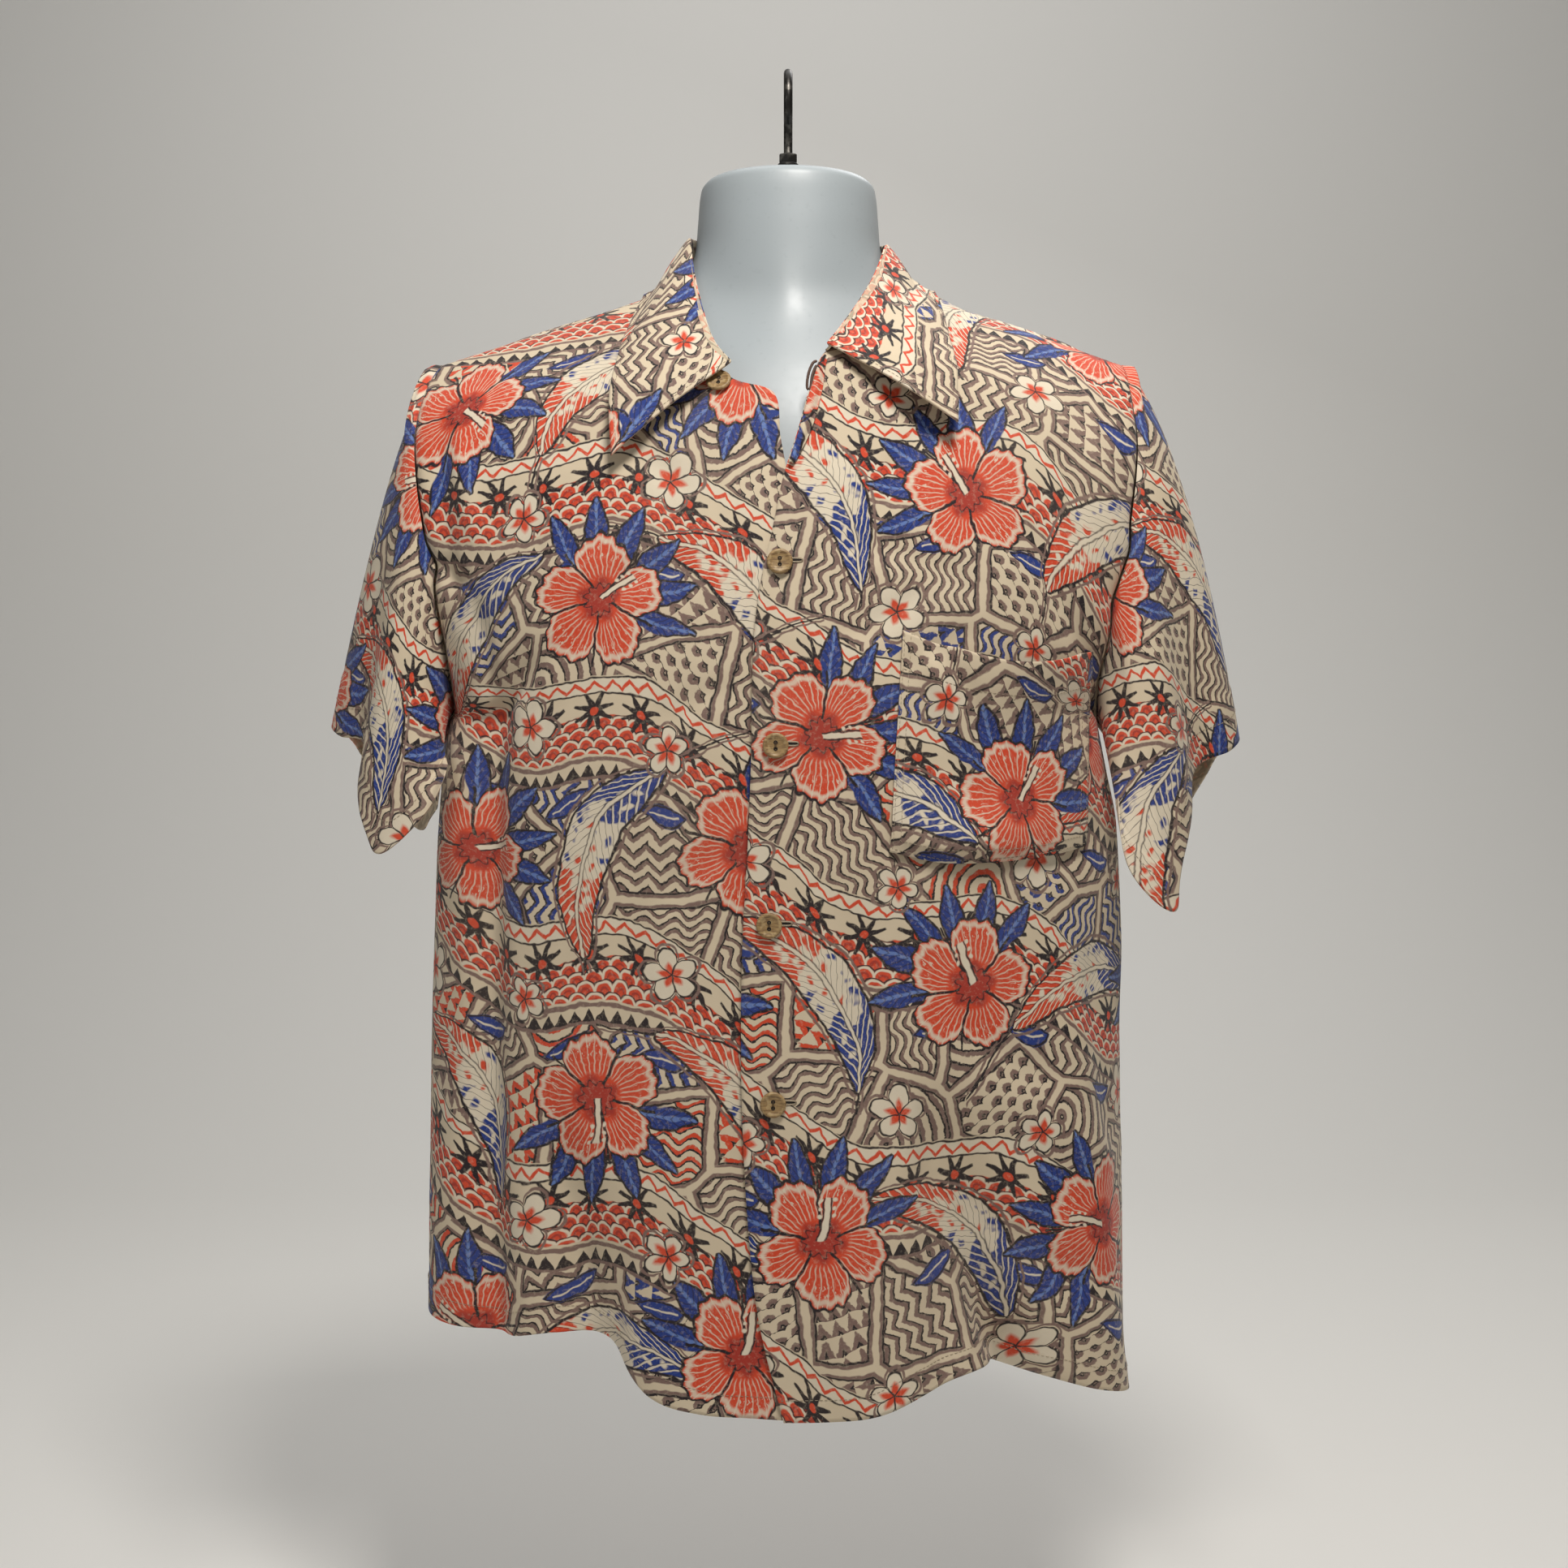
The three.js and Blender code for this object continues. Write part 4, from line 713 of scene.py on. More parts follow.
def pocket(rows=80, columns=80):
    """Points of the left front moved out: the mouth gapes as sin(pi a)^1.5, the foot bags, and
    two slanting folds run down from the mouth."""
    a, b = np.meshgrid(np.linspace(0, 1, columns + 1), np.linspace(0, 1, rows + 1))
    table = spline(POCKET, a)
    x = table[..., 2] + (table[..., 0] - table[..., 2]) * b
    z = table[..., 3] + (table[..., 1] - table[..., 3]) * b
    u, t = locate(left_front, x, z)
    mouth = smooth(b, 0.5, 1) * np.sin(np.pi * a) ** 1.5 * POCKET_GAPE
    bag = np.exp(-(((a - 0.4) / 0.3) ** 2) - ((b - 0.1) / 0.17) ** 2) * 9 * smooth(b, 0, 0.07)
    fade = smooth(b, 0.3, 0.6) * (1 - smooth(b, 0.85, 1))
    for place, width, rise in ((0.12, 0.07, 3.2), (0.25, 0.06, -2.0)):
        bag += rise * fade * np.exp(-(((a - place - 0.5 * (1 - b)) / width) ** 2))
    away = sample(left_front["normals"], u, t)
    grid = sample(left_front["grid"], u, t) + away * (CAD_CLOTH + LAYER_GAP + 0.6 + mouth + bag)[..., None]
    grid = keep_clear(grid, BODY_SURFACE, CAD_CLOTH + LAYER_GAP + 0.9)
    flat = sample(left_front["flat"], u, t) + POCKET_PRINT
    sheet = {"grid": grid, "normals": normals_of(grid, 1), "flat": flat, "sign": 1}
    thing = make_wall("pocket_cloth", sheet, 1.2)
    keep(thing, "pocket")
    declare([sheet], 0.15, 0.155)
    return sheet


pocket_sheet = pocket()


def facing(rows=50, columns=12):
    """The strip along the left front's edge that turns back below the collar, curled outwards."""
    a, b = np.meshgrid(np.linspace(0, 1, columns + 1), np.linspace(0, 1, rows + 1))
    t = (10.3 + (12.85 - 10.3) * b) / LAST_ROW
    width = 0.035 * np.sin(np.pi * (0.12 + 0.75 * b)) ** 0.8
    u = 0.003 + a * width
    curl = 1.8 * np.sin(np.pi * np.minimum(a + 0.15, 1))
    away = sample(left_front["normals"], u, t)
    grid = sample(left_front["grid"], u, t) + away * (CAD_CLOTH + LAYER_GAP + curl)[..., None]
    flat = sample(left_front["flat"], u, t) + FACING_PRINT
    sheet = {"grid": grid, "normals": normals_of(grid, 1), "flat": flat, "sign": 1}
    thing = make_wall("facing_cloth", sheet, 1.0)
    keep(thing, "facing_left")
    declare([sheet], 0.014, 0.085)
    return sheet


facing()


def eased(grid, rounds, around):
    """The grid after rounds of averaging each point with its two neighbours, around or up and down."""
    for _ in range(rounds):
        if around:
            ring = grid[:, :-1]
            ring = ring * 0.5 + (np.roll(ring, 1, axis=1) + np.roll(ring, -1, axis=1)) * 0.25
            grid = np.concatenate([ring, ring[:, :1]], axis=1)
        else:
            inner = grid[1:-1] * 0.5 + (grid[:-2] + grid[2:]) * 0.25
            grid = np.concatenate([grid[:1], inner, grid[-1:]])
    return grid


def make_form():
    """The form's rings at fine steps, eased at the throat, closed by its base and crown."""
    grid = form_grid(260, 240)
    height = grid[:, :, 2:]
    throat = smooth(height, 225, 265) * (1 - smooth(height, 345, 372))
    grid = grid + (eased(eased(grid, 16, True), 120, False) - grid) * throat
    rows, steps = grid.shape[0], grid.shape[1] - 1
    ring = grid[:, :-1].reshape(-1, 3)
    points = np.concatenate([ring, [[0, 0, FORM_BOTTOM], [0, 0, FORM_CROWN]]])
    index = np.arange(rows * steps).reshape(rows, steps)
    right = np.roll(index, -1, axis=1)
    sides = np.stack([index[:-1], right[:-1], right[1:], index[1:]], axis=2).reshape(-1, 4)
    thing = make_mesh("form_shell", metres(points), sides)
    shell = bmesh.new()
    shell.from_mesh(thing.data)
    shell.verts.ensure_lookup_table()
    low, high = shell.verts[rows * steps], shell.verts[rows * steps + 1]
    for i in range(steps):
        j = (i + 1) % steps
        shell.faces.new((low, shell.verts[index[0, j]], shell.verts[index[0, i]]))
        shell.faces.new((high, shell.verts[index[-1, i]], shell.verts[index[-1, j]])).smooth = True
    shell.to_mesh(thing.data)
    shell.free()
    keep(thing, "torso_form")


make_form()


def lathe(profile, segments):
    """Points and quad faces of a profile of (radius, height) turned about the y axis."""
    r, h = np.array(profile, float).T
    angle = np.linspace(0, 2 * np.pi, segments, endpoint=False)
    x, y = r[:, None] * np.cos(angle), r[:, None] * np.sin(angle)
    points = np.stack([x, h[:, None] + 0 * x, y], axis=2).reshape(-1, 3)
    index = np.arange(len(r) * segments).reshape(len(r), segments)
    right = np.roll(index, -1, axis=1)
    faces = np.stack([index[:-1], index[1:], right[1:], right[:-1]], axis=2).reshape(-1, 4)
    return points, faces


def button(name, x, z):
    """A turned disc with a raised rim, and the points of two small dishes at its two holes, which are made
    near-black as painted shade; the thread through them is made by button_thread.
    """
    sheet = right_front if x < -20 else left_front
    u, t = locate(sheet, np.array([float(x)]), np.array([float(z)]))
    away = sample(sheet["normals"], u, t)[0]
    away /= np.linalg.norm(away)
    place = sample(sheet["grid"], u, t)[0] + away * (BUTTON_THICKNESS / 2 + 0.5)
    half = BUTTON_THICKNESS / 2
    rings = [
        (0.01, -half), (5.6, -half), (6.9, -half * 0.9), (7.75, -half * 0.4), (8, 0), (7.9, half * 0.4),
        (7.4, half * 0.85), (6.7, half), (6.1, half * 0.93), (5.5, half * 0.68), (5.0, half * 0.5),
        (3.4, half * 0.36), (0.01, half * 0.3),
    ]
    points, faces = lathe(rings, 48)
    up = np.array([0.0, 0.0, 1.0])
    side = np.cross(up, away)
    side /= np.linalg.norm(side)
    tall = np.cross(away, side)
    turn = np.stack([side, away, tall])
    disc = make_mesh(name + "_shell", metres(points @ turn + place), faces)
    keep(disc, name)
    holes = []
    # Dishes at the holes, later made near-black: painted shade in the holes.
    for s in (-1, 1):
        hole, ring_faces = lathe([(0.01, 0.0), (1.15, 0.0), (1.3, 0.12), (0.95, 0.3), (0.01, -0.5)], 20)
        holes.append((hole + [0, half * 0.34, s * 1.9], ring_faces))
    return disc, turn, place, holes


buttons = [button(*row) for row in BUTTONS]


def tube(name, stops, radius, sides=20, steps=160):
    """A round bar along a smooth line through points, its rings square to the line."""
    line = evenly(spline(stops, np.linspace(0, 1, steps * 4))[None], steps)[0]
    along = np.gradient(line, axis=0)
    along /= np.linalg.norm(along, axis=1, keepdims=True)
    across = np.cross(along, [1.0, 0.0, 0.0])
    across /= np.linalg.norm(across, axis=1, keepdims=True)
    other = np.cross(along, across)
    angle = np.linspace(0, 2 * np.pi, sides, endpoint=False)[None, :, None]
    ends = np.ones(steps + 1)
    ends[[0, -1]] = 0.01
    ends[[1, -2]] = 0.9
    ring = across[:, None] * np.cos(angle) + other[:, None] * np.sin(angle)
    ring = ring * (radius * ends)[:, None, None]
    points = (line[:, None] + ring).reshape(-1, 3)
    index = np.arange((steps + 1) * sides).reshape(steps + 1, sides)
    right = np.roll(index, -1, axis=1)
    faces = np.stack([index[:-1], right[:-1], right[1:], index[1:]], axis=2).reshape(-1, 4)
    return make_mesh(name, metres(points), faces[:, ::-1])


WIRE_RADIUS, HOOK_RADIUS = 3.0, 19.0
SHANK_FOOT = FORM_CROWN + 0.3
hook_centre = HOOK_HEIGHT + WIRE_RADIUS - HOOK_RADIUS
bend = np.radians(np.linspace(-145, -385, 10))
hook_line = [(0, 0, SHANK_FOOT), (0, 0, 428), (0, 0, 438), (0, -5, hook_centre - 16)]
hook_line += [(0, HOOK_RADIUS * math.cos(a), hook_centre + HOOK_RADIUS * math.sin(a)) for a in bend]
keep(tube("hook_wire", hook_line, WIRE_RADIUS), "hook")


def nut():
    """A round boss, a washer and a chamfered hexagon as one turned and faceted mesh."""
    rings = [(3.3, 0.1, 0), (6.1, 0.1, 0), (6.1, 8.6, 0), (6.9, 8.8, 0), (7.2, 9.3, 0), (7.2, 10.2, 0),
             (6.9, 10.6, 0), (6.3, 10.7, 0), (6.6, 10.9, 1), (6.9, 11.6, 1), (6.9, 16.2, 1), (6.4, 17.0, 1),
             (3.9, 17.3, 0), (3.3, 16.9, 0)]
    angle = np.linspace(0, 2 * np.pi, 96, endpoint=False)
    facet = math.cos(math.pi / 6) / np.cos((angle + math.pi / 6) % (math.pi / 3) - math.pi / 6)
    points = []
    for r, h, flat in rings:
        radius = r * (np.minimum(facet, 1.0) if flat else 1.0) + 0 * angle
        level = SHANK_FOOT + h + 0 * angle
        points.append(np.stack([radius * np.cos(angle), radius * np.sin(angle), level], axis=1))
    points = np.concatenate(points)
    index = np.arange(len(rings) * 96).reshape(len(rings), 96)
    right = np.roll(index, -1, axis=1)
    above = np.roll(np.arange(len(rings)), -1)
    faces = np.stack([index, right, right[above], index[above]], axis=2).reshape(-1, 4)
    thing = make_mesh("nut_and_washer", metres(points), faces, smooth_faces=False)
    keep(thing, "nut")


nut()

corner = sample(left_front["grid"], np.zeros(1), np.array([12.6 / LAST_ROW]))[0]
cx, cy, cz = corner + [-4.6, -2.4, 0]
loop_line = [(cx + 5.5, cy, cz + 3.5), (cx + 2.6, cy - 0.6, cz + 2), (cx - 0.2, cy - 0.8, cz - 5),
             (cx - 1.0, cy - 0.8, cz - 13), (cx + 0.9, cy - 0.8, cz - 14), (cx + 2.4, cy - 0.6, cz - 5),
             (cx + 5.0, cy - 0.4, cz + 1)]
keep(tube("loop_cord", loop_line, 0.9, 12, 80), "collar_loop")


def stitches(line, normals, pitch=3.0, length=2.2, radius=0.24):
    """Stitches along a line: four-sided beads whose radius is sqrt(1 - s^2), s from -1 to 1."""
    step = np.linalg.norm(np.diff(line, axis=0), axis=1)
    run = np.concatenate([[0], np.cumsum(step)])
    middle = np.arange(pitch / 2, run[-1], pitch)

    def at(field, d):
        """The field at distances along the line."""
        return np.stack([np.interp(d, run, field[:, k]) for k in range(3)], axis=1)

    along = at(line, middle + 0.8) - at(line, middle - 0.8)
    along /= np.linalg.norm(along, axis=1, keepdims=True)
    up = at(normals, middle)
    up /= np.linalg.norm(up, axis=1, keepdims=True)
    across = np.cross(along, up)
    s = np.array([-0.96, -0.5, 0.5, 0.96])
    wide = radius * np.sqrt(1 - s**2)
    angle = np.radians([45, 135, 225, 315])
    core = at(line, middle)[:, None] + along[:, None] * (s * length / 2)[:, None]
    core = core + up[:, None] * (0.12 - 0.2 * s**2)[:, None]
    ring = across[:, None, None] * np.cos(angle)[:, None] + up[:, None, None] * np.sin(angle)[:, None]
    points = core[:, :, None] + ring * wide[:, None, None]
    index = np.arange(16).reshape(4, 4)
    right = np.roll(index, -1, axis=1)
    sides = np.stack([index[:-1], index[1:], right[1:], right[:-1]], axis=2).reshape(-1, 4)
    faces = np.concatenate([sides, index[:1], index[3:, ::-1]])
    return points.reshape(-1, 3), (faces[None] + np.arange(len(middle))[:, None, None] * 16).reshape(-1, 4)


def sheet_line(sheet, u, t, rise=0.1):
    """Points along shares of a sheet, raised off it, and its normals there."""
    normals = sample(sheet["normals"], u, t)
    return sample(sheet["grid"], u, t) + normals * rise, normals


def gathered(name, parts):
    """One mesh from several sets of points and faces, riding on the body."""
    points = np.concatenate([p for p, _ in parts])
    start = np.cumsum([0] + [len(p) for p, _ in parts[:-1]])
    faces = np.concatenate([f + s for (_, f), s in zip(parts, start)])
    thing = make_mesh(name, metres(points), faces)
    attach(thing, "root")
    return thing


def share_above(sheet, height, from_top=False):
    """Share up a sheet's columns at which it lies that far from its lower or upper edge."""
    grid = sheet["grid"][::-1] if from_top else sheet["grid"]
    run = np.cumsum(np.linalg.norm(np.diff(grid, axis=0), axis=2), axis=0)
    share = (run < height).sum(axis=0) / (len(grid) - 1)
    share = np.convolve(np.pad(share, 6, mode="edge"), np.ones(13) / 13, mode="valid")
    return 1 - share if from_top else share


def sew():
    """Rows of stitches at the hems, the collar's edge and round the pocket."""
    rows = []
    for sheet in (shown["front_left"], shown["front_right"], back):
        share = share_above(sheet, 17)
        rows.append(sheet_line(sheet, np.linspace(0.004, 0.996, len(share)), share, 0.1))
    for sheet in (left_sleeve, right_sleeve):
        share = share_above(sheet, 21.5, from_top=True)
        rows.append(sheet_line(sheet, np.linspace(0, 1, len(share)), share, 0.15))
    share = share_above(collar_sheet, 6, from_top=True)
    rows.append(sheet_line(collar_sheet, np.linspace(0.012, 0.988, len(share)), share))
    for c in (0.012, 0.988):
        w = np.linspace(0.45, share[int(c * (len(share) - 1))], 60)
        rows.append(sheet_line(collar_sheet, np.full(60, c), w))
    for inset in (0.018, 0.062):
        a = np.concatenate([np.full(60, inset), np.linspace(inset, 1 - inset, 80), np.full(60, 1 - inset)])
        b = np.concatenate([np.linspace(0.99, inset, 60), np.full(80, inset), np.linspace(inset, 0.99, 60)])
        rows.append(sheet_line(pocket_sheet, a, b))
    rows.append(sheet_line(pocket_sheet, np.linspace(0.02, 0.98, 90), np.full(90, 0.83)))
    return gathered("seam_stitches", [stitches(line, normals) for line, normals in rows])


def frame_at(sheet, x, z):
    """A place seen from the front on a sheet, with its sideways, outward and upward directions."""
    u, t = locate(sheet, np.array([float(x)]), np.array([float(z)]))
    away = sample(sheet["normals"], u, t)[0]
    away /= np.linalg.norm(away)
    side = np.cross([0.0, 0.0, 1.0], away)
    side /= np.linalg.norm(side)
    return sample(sheet["grid"], u, t)[0], np.stack([side, away, np.cross(away, side)])


def buttonholes():
    """Worked buttonholes: a stadium line 15 mm long, whipped with thread, around a thin near-black plate in
    the slit, whose colour is painted shade.
    """
    rims, slits = [], []
    turn = np.linspace(0, 2 * np.pi, 240, endpoint=False)
    out = np.abs(np.cos(turn)) ** 0.25 * np.sign(np.cos(turn))
    path = np.stack([out * 7.5, 0 * turn + 0.25, np.sin(turn) * 1.15], axis=1)
    ahead = np.roll(path, -1, axis=0) - np.roll(path, 1, axis=0)
    ahead /= np.linalg.norm(ahead, axis=1, keepdims=True)
    side = np.cross(ahead, [0.0, 1.0, 0.0])
    angle = np.linspace(0, 2 * np.pi, 6, endpoint=False)
    whip = 0.5 + 0.1 * np.cos(turn * 60)
    ring = side[:, None] * np.cos(angle)[:, None] * 1.1 + np.array([0, 0.8, 0]) * np.sin(angle)[:, None]
    tube_points = (path[:, None] + ring * whip[:, None, None]).reshape(-1, 3)
    index = np.arange(len(tube_points)).reshape(240, 6)
    nxt, right = np.roll(index, -1, axis=0), np.roll(index, -1, axis=1)
    tube_faces = np.stack([index, nxt, np.roll(right, -1, axis=0), right], axis=2).reshape(-1, 4)
    # The plate in the slit is near-black: painted shade where the cut opens onto the cloth below.
    flat = np.array([[-7.2, 0.06, -0.7], [7.2, 0.06, -0.7], [7.2, 0.06, 0.7], [-7.2, 0.06, 0.7]])
    slit_points = np.concatenate([flat, flat + [0, 0.3, 0]])
    slit_faces = np.array(
        [[0, 1, 2, 3], [7, 6, 5, 4], [0, 4, 5, 1], [1, 5, 6, 2], [2, 6, 7, 3], [3, 7, 4, 0]]
    )
    for _, x, z in BUTTONS[1:]:
        place, turn_to = frame_at(shown["front_left"], x + 6.5, z + 1.2)
        rims.append((tube_points @ turn_to + place, tube_faces))
        slits.append((slit_points @ turn_to + place, slit_faces))
    return gathered("buttonhole_stitching", rims), gathered("buttonhole_slit_shade", slits)


def button_thread():
    """Near-black dishes in each button's two holes, painted shade, and the sewing thread that joins the
    holes, for each button.
    """
    bars, dark = [], []
    for _, turn, place, holes in buttons:
        line = np.array([[0, 0.62, -1.9], [0, 0.95, -1.2], [0, 1.0, 0], [0, 0.95, 1.2], [0, 0.62, 1.9]])
        line = evenly(line[None], 24)[0]
        for shift in (-0.35, 0.35):
            points = (line + [shift, 0, 0]) @ turn + place
            bars.append(stitches(points, np.tile(turn[1], (len(points), 1)), 4.4, 4.2, 0.3))
        # The dishes at the holes carry painted shade.
        dark += [(points @ turn + place, faces) for points, faces in holes]
    return gathered("button_thread", bars), gathered("button_hole_shade", dark)


trim = {"stitch": sew()}
# The slit plates carry painted shade.
trim["buttonhole"], trim["slit"] = buttonholes()
# The hole dishes carry painted shade.
trim["thread"], trim["hole"] = button_thread()


def colour(code):
    """Linear red, green, blue and alpha of a hexadecimal colour as it is seen."""
    parts = [int(code[i:i + 2], 16) / 255 for i in (0, 2, 4)]
    return (*[p / 12.92 if p <= 0.04045 else ((p + 0.055) / 1.055) ** 2.4 for p in parts], 1.0)


class Drawing:
    """Draws with numbers that vary over a surface, each step one node of a material's tree."""

    def __init__(self, name):
        self.material = bpy.data.materials.new(name)
        self.material.use_nodes = True
        self.tree = self.material.node_tree
        self.shader = self.tree.nodes["Principled BSDF"]

    def node(self, kind, inputs=(), **settings):
        """A new node with its settings and inputs."""
        made = self.tree.nodes.new(kind)
        for key, value in settings.items():
            setattr(made, key, value)
        for key, value in dict(inputs).items():
            self.put(made.inputs[key], value)
        return made

    def put(self, socket, value):
        """Links a varying value to a socket, or sets a constant on it."""
        if isinstance(value, Number):
            self.tree.links.new(value.socket, socket)
        elif isinstance(value, bpy.types.NodeSocket):
            self.tree.links.new(value, socket)
        else:
            socket.default_value = value

    def step(self, kind, *values, clamp=False):
        """One sum of that kind."""
        made = self.node("ShaderNodeMath", enumerate(values), operation=kind, use_clamp=clamp)
        return Number(self, made.outputs[0])

    def pair(self, x, y, z=0.0):
        """A place from two or three numbers."""
        return self.node("ShaderNodeCombineXYZ", {0: x, 1: y, 2: z}).outputs[0]

    def noise(self, x, y, size, detail=2.0, rough=0.5):
        """Smooth noise about 0.5 in patches of that size."""
        made = self.node(
            "ShaderNodeTexNoise",
            {"Vector": self.pair(x, y), "Scale": 1 / size, "Detail": detail, "Roughness": rough},
            noise_dimensions="2D",
        )
        return Number(self, made.outputs["Fac"])

    def chance(self, x, y):
        """A number from 0 to 1 that is the same all over one repeat."""
        made = self.node("ShaderNodeTexWhiteNoise", {"Vector": self.pair(x, y)}, noise_dimensions="2D")
        return Number(self, made.outputs["Value"])

    def blend(self, under, over, share):
        """The colour under, covered by the colour over to that share."""
        made = self.node("ShaderNodeMix", data_type="RGBA")
        sockets = {s.identifier: s for s in made.inputs}
        self.put(sockets["Factor_Float"], share)
        self.put(sockets["A_Color"], under)
        self.put(sockets["B_Color"], over)
        return [s for s in made.outputs if s.identifier == "Result_Color"][0]


class Number:
    """A number that varies over the surface, with the usual signs for its sums."""

    def __init__(self, drawing, socket):
        self.drawing, self.socket = drawing, socket

    def step(self, kind, *values, clamp=False):
        return self.drawing.step(kind, self, *values, clamp=clamp)

    def __add__(self, other):
        return self.step("ADD", other)

    def __radd__(self, other):
        return self.step("ADD", other)

    def __sub__(self, other):
        return self.step("SUBTRACT", other)

    def __rsub__(self, other):
        return self.drawing.step("SUBTRACT", other, self)

    def __mul__(self, other):
        return self.step("MULTIPLY", other)

    def __rmul__(self, other):
        return self.step("MULTIPLY", other)

    def __truediv__(self, other):
        return self.step("DIVIDE", other)

    def __rtruediv__(self, other):
        return self.drawing.step("DIVIDE", other, self)

    def __pow__(self, other):
        return self.step("POWER", other)

    def __abs__(self):
        return self.step("ABSOLUTE")

    def most(self, other):
        return self.step("MAXIMUM", other)

    def floor(self):
        return self.step("FLOOR")

    def part(self, length=1.0):
        """How far into its repeat of that length, as a share from 0 to 1."""
        return (self / length).step("FRACT") if length != 1 else self.step("FRACT")

    def zigzag(self, length):
        """From 0 at each repeat's ends up to 1 at its middle, in straight lines."""
        return 1 - abs(self.part(length) * 2 - 1)

    def sin(self):
        return self.step("SINE")

    def cos(self):
        return self.step("COSINE")

    def within(self, edge=0.0, soft=0.7):
        """1 below the edge and 0 above it, with a soft step between."""
        return self.step("MULTIPLY_ADD", -1 / soft, edge / soft + 0.5, clamp=True)

    def line(self, width, soft=0.7):
        """1 on a line of that width where the number is 0."""
        return abs(self).within(width / 2, soft)


def far(x, y):
    """Distance from the middle of a motif."""
    return (x * x + y * y).step("SQRT")


def turned(x, y, angle):
    """Places turned about the middle of a motif."""
    c, s = angle.cos(), angle.sin()
    return x * c + y * s, y * c - x * s


CREAM, PALE, TAUPE = colour("D3C2A6"), colour("DCCFB8"), colour("7B6259")
CORAL, RUST, BLUE, SKY, DARK = (colour(c) for c in ("D04423", "A53122", "1C357E", "5F79B2", "1D1217"))

# Repeats of the large motifs and of the garlands, and width of the ground's cells, in millimetres
HALF_DROP = (190.0, 156.0)
GARLAND = 152.0
CELL = 58
FULL_TURN = 6.283  # radians
PETAL = 1.25664  # a fifth of a turn


def half_drop(pen, x, y, x0, y0):
    """Places about the nearest motif of a half-drop repeat, and the motif's own chance number."""
    wide, high = HALF_DROP
    row = ((y - y0) / high + 0.5).floor()
    across = x - row * (wide / 2) - x0
    column = (across / wide + 0.5).floor()
    own = pen.chance(column.step("MODULO", 4.0) + 0.5, row.step("MODULO", 4.0) + x0)
    return across - column * wide, y - y0 - row * high, own


def patches(pen, x, y):
    """The ground: cells, each with arcs, chevrons, waves, triangles or rows of dots."""
    layout = {"Vector": pen.pair(x, y), "Scale": 1 / CELL, "Randomness": 0.85}
    cells = pen.node("ShaderNodeTexVoronoi", layout, voronoi_dimensions="2D")
    edge = pen.node(
        "ShaderNodeTexVoronoi", layout, voronoi_dimensions="2D", feature="DISTANCE_TO_EDGE"
    )
    border = Number(pen, edge.outputs["Distance"]) * CELL
    split = pen.node("ShaderNodeSeparateColor", {"Color": cells.outputs["Color"]})
    kind, tint, turn = (Number(pen, s) for s in split.outputs)
    from_middle = Number(pen, cells.outputs["Distance"]) * CELL
    u, v = turned(x, y, turn * FULL_TURN)
    arcs = from_middle.part(8.5)
    chevrons = (v + u.zigzag(17.0) * 7).part(9.0)
    waves = (v + (u * 0.33).sin() * 2.6).part(6.5)
    teeth = (v.part(11.0) * 1.1 - u.zigzag(10.0)) * 0.5 + 0.5
    scales = far((u + (v / 8).floor() * 5.5).part(11.0) * 11 - 5.5, v.part(8.0) * 8).part(7.5)
    value = arcs
    for start, pattern in ((0.22, chevrons), (0.42, waves), (0.6, teeth), (0.82, scales)):
        chosen = kind.step("GREATER_THAN", start)
        value = value + (pattern - value) * chosen
    brushed = value + (pen.noise(x, y, 2.2) - 0.5) * 0.2
    filled = abs(brushed - 0.36).within(0.17, 0.07)
    shade = pen.blend(CREAM, TAUPE, filled)
    warm = tint.step("GREATER_THAN", 0.8)
    cool = tint.step("LESS_THAN", 0.15)
    shade = pen.blend(shade, CORAL, filled * warm)
    shade = pen.blend(shade, BLUE, filled * cool)
    shade = pen.blend(shade, DARK, abs(brushed - 0.12).within(0.085, 0.06))
    shade = pen.blend(shade, CREAM, border.within(4.0))
    shade = pen.blend(shade, TAUPE, (border - 3.0).line(1.9))
    return pen.blend(shade, DARK, (border - 4.6).line(1.4))


